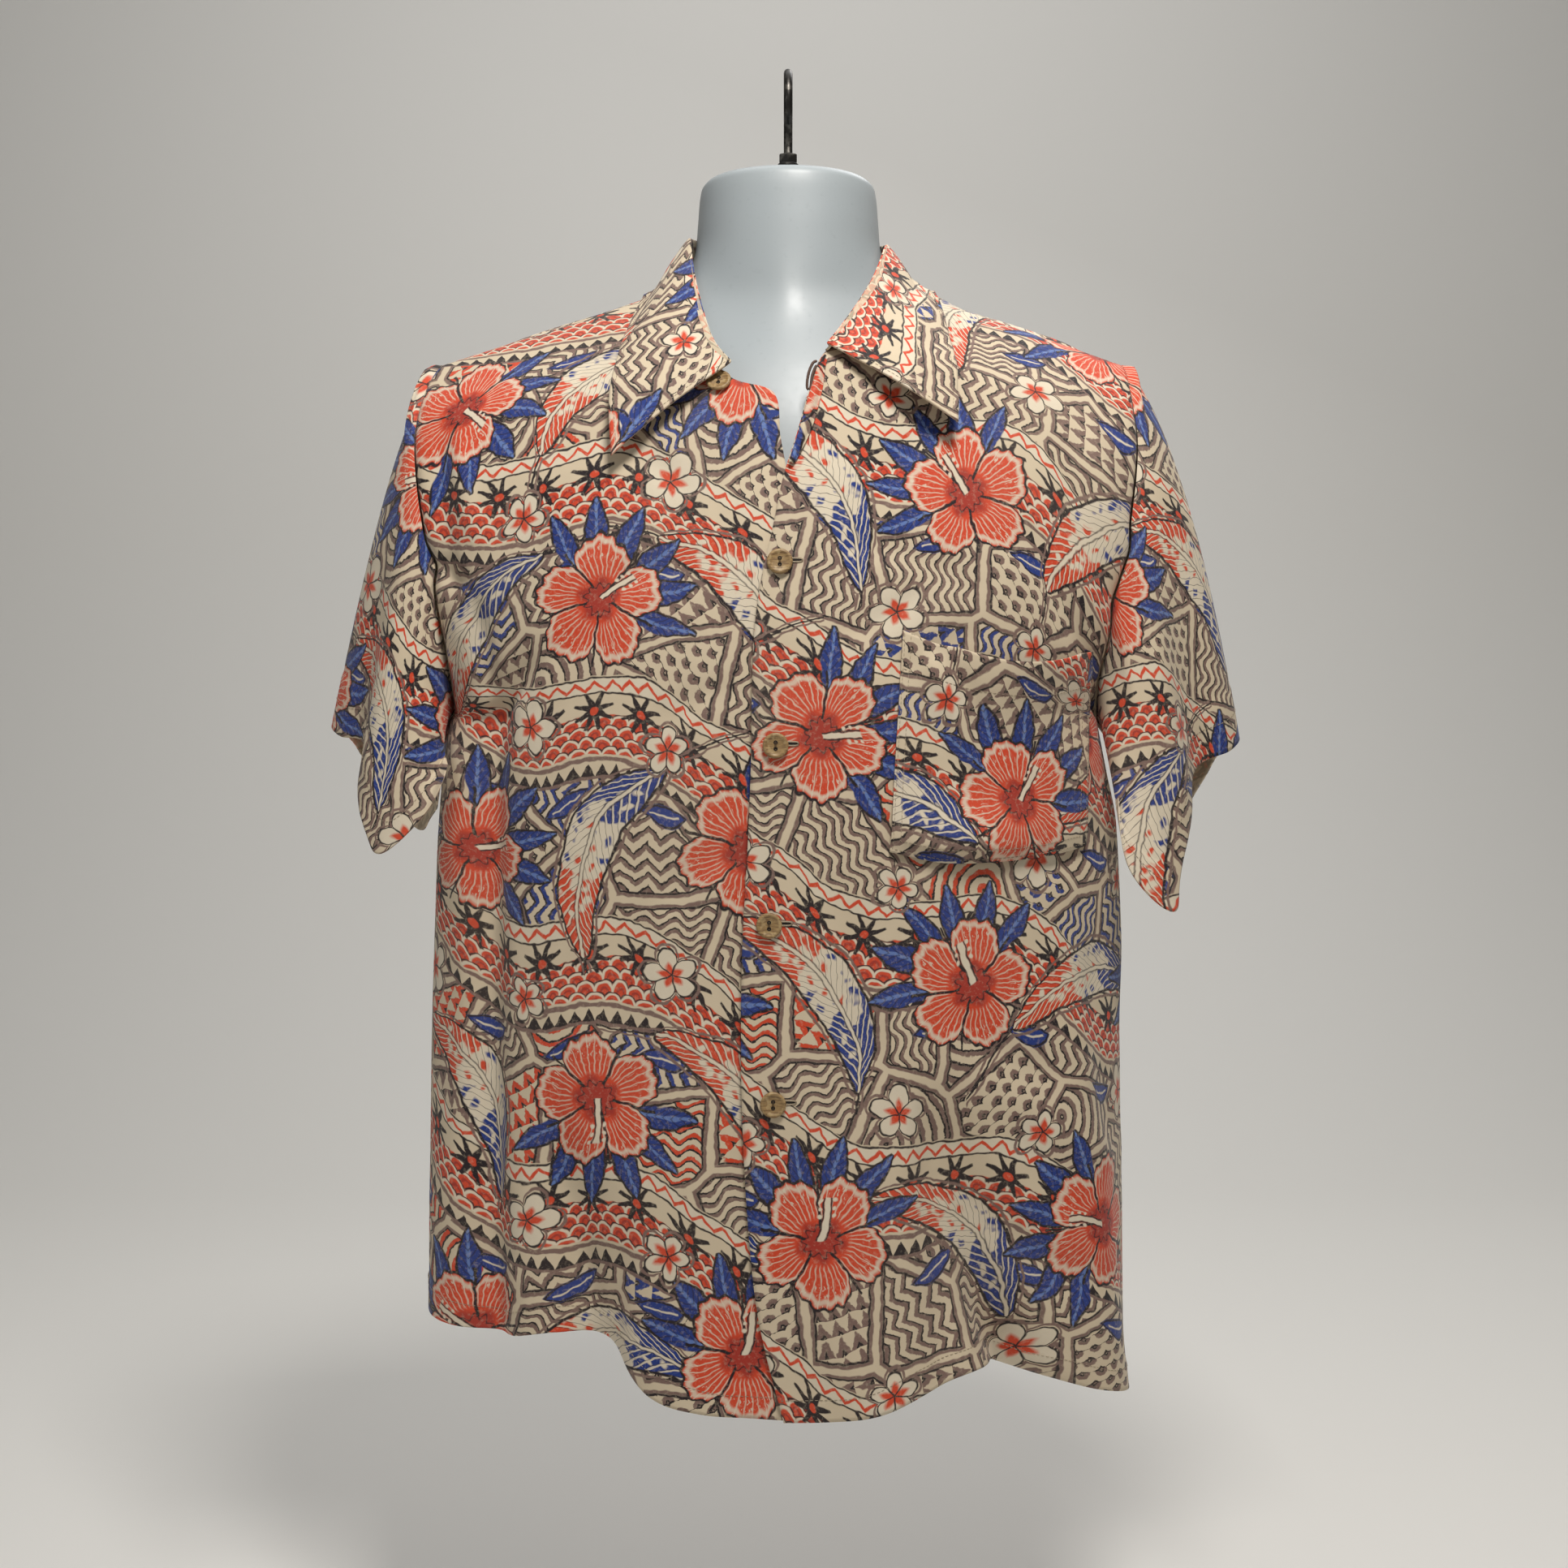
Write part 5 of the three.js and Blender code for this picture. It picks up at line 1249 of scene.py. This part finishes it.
def garlands(pen, x, y, shade):
    """Wavy slanting bands: coral scallops, dark star daisies, ribbons and small blue leaves."""
    w = y + x * 0.3 + (x * (6.2832 / 190)).sin() * 14
    w = w.part(GARLAND) * GARLAND - GARLAND / 2
    shade = pen.blend(shade, CREAM, abs(w - 1).within(32.5))
    band = abs(w + 6).within(13)
    row = (w / 7).floor()
    across = (x + row * 5.5).part(11.0) * 11 - 5.5
    scallop = far(across, w - row * 7)
    coral = pen.blend(CORAL, RUST, (scallop - 2.2).line(1.5))
    coral = pen.blend(coral, PALE, (scallop - 5.6).line(1.7))
    coral = pen.blend(coral, DARK, (scallop - 6.9).line(1.0))
    shade = pen.blend(shade, coral, band)
    star_x, star_y = x.part(31.667) * 31.667 - 15.8, w - 9.5
    r = far(star_x, star_y)
    a = star_y.step("ARCTAN2", star_x)
    ray = abs(a.part(0.7854) - 0.5) * r * 0.7854
    wide_ray = (r * -0.13 + 2.3).most(0.4)
    shade = pen.blend(shade, DARK, (ray - wide_ray).within(0.4) * r.within(13.5))
    shade = pen.blend(shade, CORAL, r.within(2.7))
    ribbon = abs(w - 27)
    shade = pen.blend(shade, PALE, ribbon.within(4.6))
    shade = pen.blend(shade, CORAL, (w - 24 - x.zigzag(12.0) * 5.5).line(2.6))
    shade = pen.blend(shade, DARK, (ribbon - 5.2).line(1.3))
    shade = pen.blend(shade, TAUPE, abs(w + 22).within(1.4))
    teeth = (w + 32.5 - x.zigzag(9.5) * 7.5)
    shade = pen.blend(shade, DARK, teeth.within(0.4) * (w + 32.2).step("GREATER_THAN", 0.0))
    shade = pen.blend(shade, TAUPE, (w + 33).line(2.0))
    leaf_x, leaf_y = x.part(63.333) * 63.333 - 31.7, w + 47
    u = leaf_x * 0.94 + leaf_y * 0.34
    v = leaf_y * 0.94 - leaf_x * 0.34 - u * u * 0.012
    edge = abs(v) + u * u * 0.022 - 5.6
    shade = pen.blend(shade, BLUE, edge.within(0.8))
    shade = pen.blend(shade, DARK, edge.line(1.2))
    return pen.blend(shade, PALE, v.line(1.1) * abs(u).within(11))


def hibiscus(pen, x, y, shade):
    """A five-petalled flower of radius about 42 mm beside a fan of pointed leaves 66 mm long."""
    across, up, own = half_drop(pen, x, y, 20.0, 30.0)
    u, v = turned(across, up, own * FULL_TURN)
    r, a = far(u, v), v.step("ARCTAN2", u)
    fan = abs(a.part(0.4833) - 0.5) * 0.4833
    blade = ((r - 18) * (3.1416 / 50)).sin().most(0.0) * 7.6 - fan * r
    fan_side = (abs(a) - 1.35).within(0.0, 0.02) * (r - 67).within(0)
    leaf_shade = pen.blend(BLUE, SKY, (fan * r).within(1.0) * 1.0)
    streak = (r * 0.9 - fan * r * 1.4).part(5.0).within(0.24, 0.12)
    leaf_shade = pen.blend(leaf_shade, DARK, streak * 0.55)
    shade = pen.blend(shade, leaf_shade, (0 - blade).within(0) * fan_side)
    shade = pen.blend(shade, DARK, blade.line(1.6) * fan_side * (18 - r).within(0))
    petal = (a / PETAL).part()
    side = abs(petal - 0.5) * 2
    rim = 42 - side**2.6 * 15 + (a * 30).sin() * 0.9 + (a * 13).sin() * 0.9
    body = r - rim
    seam = (1 - side) * r * 0.6283
    hue = pen.blend(CORAL, PALE, (body + 4).line(3.4, 2) * 0.8)
    vein = abs((petal * 9).part() - 0.5) * r * 0.12
    hue = pen.blend(hue, PALE, vein.within(0.3, 0.4) * (16 - r).within(0, 3) * 0.75)
    hue = pen.blend(hue, RUST, (r - 15 + side * 5).within(0, 4))
    brush = pen.noise(a * 22, r * 0.22, 1.0)
    hue = pen.blend(hue, PALE, (0.66 - brush).within(0, 0.06) * (26 - r).within(0, 6) * 0.8)
    shade = pen.blend(shade, hue, body.within(0))
    shade = pen.blend(shade, DARK, body.line(1.9))
    shade = pen.blend(shade, DARK, seam.within(0.85, 0.6) * (r - 40).within(0) * (9 - r).within(0))
    shade = pen.blend(shade, DARK, (r - 9.5 - (a * 10).sin() * 1.6).line(1.2) * 0.8)
    stem = abs(v + u * 0.25)
    on_stem = abs(u - 13).within(12.5)
    shade = pen.blend(shade, PALE, stem.within(1.7) * on_stem)
    shade = pen.blend(shade, DARK, (stem - 2.2).line(1.0) * on_stem)
    dots = far(u.part(4.4) * 4.4 - 2.2, (abs(v + u * 0.25) - 4.0))
    return pen.blend(shade, PALE, dots.within(1.15) * abs(u - 20).within(7))


def banana_leaves(pen, x, y, shade):
    """Curved leaves about 130 mm long, brushed from blue through cream to coral."""
    across, up, own = half_drop(pen, x, y, 115.0, 30.0)
    u, v = turned(across, up, own * 2.4 + 2.0)
    v = v - u * u * 0.006 + 6
    along = u / 66
    wide = (1 - along * along).most(0.0) ** 0.62 * 17.5
    body = abs(v) - wide
    hatch = (u * 0.8 - abs(v) * 1.15).part(5.2)
    brush = pen.noise(u * 0.35, v * 0.35, 3.2, 1.0)
    tone = along * 0.5 + 0.5 + (brush - 0.5) * 0.9
    hue = pen.blend(BLUE, PALE, (0.36 - tone).within(0, 0.1))
    hue = pen.blend(hue, CORAL, (0.66 - tone).within(0, 0.1))
    hue = pen.blend(hue, PALE, hatch.within(0.26, 0.12) * 0.9)
    hue = pen.blend(hue, DARK, abs(hatch - 0.33).within(0.045, 0.05) * 0.7)
    shade = pen.blend(shade, hue, body.within(0))
    shade = pen.blend(shade, PALE, v.line(2.2) * body.within(0))
    shade = pen.blend(shade, DARK, (abs(v) - 1.5).line(0.8) * body.within(0) * 0.8)
    shade = pen.blend(shade, TAUPE, (body - 3.2).line(1.8))
    return pen.blend(shade, DARK, body.line(1.8))


def small_flowers(pen, x, y, shade):
    """Cream flowers of 17 mm radius with coral throats, between the large motifs."""
    for x0, y0, size in ((68.0, 108.0, 1.0), (160.0, 92.0, 0.8)):
        across, up, own = half_drop(pen, x, y, x0, y0)
        r, a = far(across, up), up.step("ARCTAN2", across) + own * FULL_TURN
        side = abs((a / PETAL).part() - 0.5) * 2
        body = r - (18 - side**2 * 8.5) * size
        hue = pen.blend(PALE, CORAL, (r - 4 - (1 - side) * 5).within(0, 3))
        shade = pen.blend(shade, TAUPE, (body - 2.6).line(2.0))
        shade = pen.blend(shade, hue, body.within(0))
        shade = pen.blend(shade, DARK, body.line(1.4))
        shade = pen.blend(shade, DARK, ((1 - side) * r * 0.6283).within(0.5, 0.6) * body.within(0))
    return shade


def cloth_material():
    """Crisp rayon with the print on its right side and a paler ghost of it on the wrong side."""
    pen = Drawing("printed_cloth")
    flat = pen.node("ShaderNodeUVMap", uv_map="cloth").outputs["UV"]
    split = pen.node("ShaderNodeSeparateXYZ", {"Vector": flat})
    x0, y0 = Number(pen, split.outputs["X"]) * 1000, Number(pen, split.outputs["Y"]) * 1000
    x = x0 + (pen.noise(x0, y0, 46, 1.0) - 0.5) * 9 + (pen.noise(x0 + 90, y0, 7, 1.0) - 0.5) * 2.2
    y = y0 + (pen.noise(x0, y0 + 400, 46, 1.0) - 0.5) * 9 + (pen.noise(x0, y0 + 90, 7, 1.0) - 0.5) * 2.2
    shade = patches(pen, x, y)
    shade = garlands(pen, x, y, shade)
    shade = banana_leaves(pen, x, y, shade)
    shade = hibiscus(pen, x, y, shade)
    shade = small_flowers(pen, x, y, shade)
    dry = pen.noise(x0, y0, 3.0, 3.0, 0.7)
    shade = pen.blend(shade, CREAM, (0.62 - dry).within(0, 0.2) * 0.22)
    inner = Number(pen, pen.node("ShaderNodeAttribute", attribute_name="inside").outputs["Fac"])
    shade = pen.blend(shade, CREAM, inner.within(0.5, 0.02) * -0.62 + 0.62)
    worn = pen.noise(x0, y0, 120, 2.0)
    shade = pen.blend(shade, colour("A39480"), (worn - 0.35) * 0.2)
    weave = (x0 * 12.566).sin() * (y0 * 12.566).sin()
    crepe = pen.noise(x0, y0, 1.3, 2.0, 0.6)
    ripple = pen.noise(x0, y0 * 0.6, 26, 2.0, 0.5)
    height = weave * 0.05 + crepe * 0.16 + ripple * 2.2
    bump = pen.node("ShaderNodeBump", {"Height": height, "Strength": 0.5, "Distance": 0.001})
    pen.put(pen.shader.inputs["Base Color"], shade)
    pen.put(pen.shader.inputs["Normal"], bump.outputs["Normal"])
    pen.put(pen.shader.inputs["Roughness"], crepe * 0.12 + 0.62)
    pen.shader.inputs["Sheen Weight"].default_value = 0.12
    pen.shader.inputs["Sheen Roughness"].default_value = 0.5
    pen.shader.inputs["Specular IOR Level"].default_value = 0.32
    return pen.material


def object_places(pen, scale):
    """Places on the object itself, in units of that many metres."""
    where = pen.node("ShaderNodeTexCoord").outputs["Object"]
    made = pen.node("ShaderNodeVectorMath", {0: where, 1: (1 / scale,) * 3}, operation="MULTIPLY")
    return made.outputs[0]


def solid_noise(pen, scale, detail=3.0):
    """Smooth noise through the solid in lumps of that many metres."""
    places = object_places(pen, scale)
    made = pen.node("ShaderNodeTexNoise", {"Vector": places, "Scale": 1.0, "Detail": detail})
    return Number(pen, made.outputs["Fac"])


def plastic_material():
    """Glossy bluish-white moulding with faint waves, scuffs and handling marks."""
    pen = Drawing("form_plastic")
    marks, waves = solid_noise(pen, 0.004, 4.0), solid_noise(pen, 0.05, 1.0)
    tone = pen.blend(colour("9BA3A7"), colour("8E969A"), (0.66 - marks).within(0, 0.1) * 0.4)
    tone = pen.blend(tone, colour("A0A6A7"), waves * 0.5)
    height = waves * 1.0 + marks * 0.01
    bump = pen.node("ShaderNodeBump", {"Height": height, "Strength": 0.35, "Distance": 0.002})
    pen.put(pen.shader.inputs["Base Color"], tone)
    pen.put(pen.shader.inputs["Normal"], bump.outputs["Normal"])
    pen.put(pen.shader.inputs["Roughness"], marks * 0.12 + 0.4)
    pen.shader.inputs["Coat Weight"].default_value = 0.08
    pen.shader.inputs["Coat Roughness"].default_value = 0.2
    return pen.material


def shell_material():
    """Brown horn: streaks across the disc, darker and lighter, under a low polish."""
    pen = Drawing("button_shell")
    split = pen.node("ShaderNodeSeparateXYZ", {"Vector": object_places(pen, 0.001)})
    x, z = Number(pen, split.outputs["X"]), Number(pen, split.outputs["Z"])
    streaks = pen.noise(x * 0.35 + z * 0.1, z * 2.2, 2.0, 3.0)
    dark = streaks.step("MULTIPLY_ADD", 2.6, -0.9, clamp=True)
    tone = pen.blend(colour("A38659"), colour("6E5233"), dark)
    tone = pen.blend(tone, colour("BFA678"), (0.6 - pen.noise(x, z, 3.5, 2.0)).within(0, 0.12) * 0.5)
    bump = pen.node("ShaderNodeBump", {"Height": streaks, "Strength": 0.25, "Distance": 0.0004})
    pen.put(pen.shader.inputs["Base Color"], tone)
    pen.put(pen.shader.inputs["Normal"], bump.outputs["Normal"])
    pen.put(pen.shader.inputs["Roughness"], streaks * 0.2 + 0.4)
    return pen.material


def steel_material():
    """Blackened steel, brushed along the wire, brighter where it rubs."""
    pen = Drawing("hook_metal")
    rub = solid_noise(pen, 0.006, 4.0)
    tone = pen.blend(colour("3A3836"), colour("77736D"), (0.56 - rub).within(0, 0.12) * 0.6)
    grain = solid_noise(pen, 0.0006, 2.0)
    bump = pen.node("ShaderNodeBump", {"Height": grain, "Strength": 0.3, "Distance": 0.0002})
    pen.put(pen.shader.inputs["Base Color"], tone)
    pen.put(pen.shader.inputs["Normal"], bump.outputs["Normal"])
    pen.put(pen.shader.inputs["Roughness"], rub * 0.3 + 0.25)
    pen.shader.inputs["Metallic"].default_value = 0.9
    return pen.material


def thread_material(name="sewing_thread", light="B9AB95", deep="8E7D66"):
    """Twisted cotton: fine ply lines of two near tones; in near-black tones it also gives the painted shade
    of the buttonhole slits and button holes.
    """
    pen = Drawing(name)
    ply = solid_noise(pen, 0.0004, 2.0)
    tone = pen.blend(colour(light), colour(deep), ply)
    bump = pen.node("ShaderNodeBump", {"Height": ply, "Strength": 0.4, "Distance": 0.0002})
    pen.put(pen.shader.inputs["Base Color"], tone)
    pen.put(pen.shader.inputs["Normal"], bump.outputs["Normal"])
    pen.shader.inputs["Roughness"].default_value = 0.85
    return pen.material


cloth, plastic, shell, steel, thread = (
    make() for make in (cloth_material, plastic_material, shell_material, steel_material, thread_material)
)
# Painted shade: a near-black look for the slit plates and the hole dishes, where only shade is seen.
shade_look = thread_material("gap_in_shadow", "1E1512", "0E0A08")
brown = thread_material("button_thread", "6B5336", "4A3823")
loop_look = thread_material("loop_cloth", "7A6154", "3F2E2A")
looks = {"torso_form": plastic, "hook": steel, "nut": steel, "collar_loop": loop_look}
for node, thing in pieces.items():
    look = looks.get(node, shell if node.startswith("button") else cloth)
    thing.data.materials.append(look)
for name, thing in trim.items():
    # The slits and the holes take the painted-shade look.
    thing.data.materials.append({"slit": shade_look, "hole": shade_look, "thread": brown}.get(name, thread))


def area_light(name, at, toward, size, power, colour=(1, 1, 1)):
    """A soft square light at a place, in metres from the chest's middle, aimed at a point."""
    lamp = bpy.data.lights.new(name, "AREA")
    lamp.size, lamp.energy, lamp.color = size, power, colour
    thing = bpy.data.objects.new(name, lamp)
    thing.location = Vector(at)
    thing.rotation_euler = (Vector(toward) - Vector(at)).to_track_quat("-Z", "Y").to_euler()
    bpy.context.scene.collection.objects.link(thing)


CHEST = -HOOK_HEIGHT * 0.001
lens = bpy.data.cameras.new("camera")
lens.lens, lens.sensor_width = 44.72, 36.0
camera = bpy.data.objects.new("camera", lens)
camera.location = (-0.0028, -1.33, CHEST)
camera.rotation_euler = (math.pi / 2, 0, 0)
bpy.context.scene.collection.objects.link(camera)
bpy.context.scene.camera = camera

# The floor runs back and turns up into a plain backdrop
bend = np.radians(np.linspace(0, 90, 25))
run = np.concatenate([[-4.0], 1.6 + 1.2 * np.sin(bend), [2.8]])
rise = np.concatenate([[0.0], 1.2 - 1.2 * np.cos(bend), [5.0]]) + CHEST - 0.62
floor_points = np.concatenate([np.stack([0 * run + side, run, rise], axis=1) for side in (-6, 6)])
near = np.arange(len(run) - 1)
floor_faces = np.stack([near, near + len(run), near + len(run) + 1, near + 1], axis=1)
floor = make_mesh("floor", floor_points, floor_faces)
floor_look = Drawing("pale_floor")
floor_look.shader.inputs["Base Color"].default_value = (0.84, 0.825, 0.79, 1)
floor_look.shader.inputs["Roughness"].default_value = 0.8
floor.data.materials.append(floor_look.material)

area_light("key", (0.18, -0.85, CHEST + 1.25), (0, 0, CHEST + 0.1), 0.35, 20, (1, 0.965, 0.92))
area_light("fill", (-1.6, -1.5, CHEST + 0.6), (0, 0, CHEST), 1.2, 4, (0.93, 0.96, 1))
area_light("top", (0.1, -0.2, CHEST + 2.3), (0, 0, CHEST), 1.2, 3)
area_light("rear", (0.9, 1.4, CHEST + 2.0), (0, 0, CHEST), 1.0, 12)
area_light("backdrop", (0, 0.9, CHEST + 2.4), (0, 2.8, CHEST + 0.4), 1.8, 21)
world = bpy.data.worlds.new("studio")
world.use_nodes = True
world.node_tree.nodes["Background"].inputs["Color"].default_value = (0.82, 0.81, 0.78, 1)
world.node_tree.nodes["Background"].inputs["Strength"].default_value = 0.17
bpy.context.scene.world = world
bpy.context.scene.view_settings.view_transform = "Standard"
bpy.context.scene.cycles.seed = 7
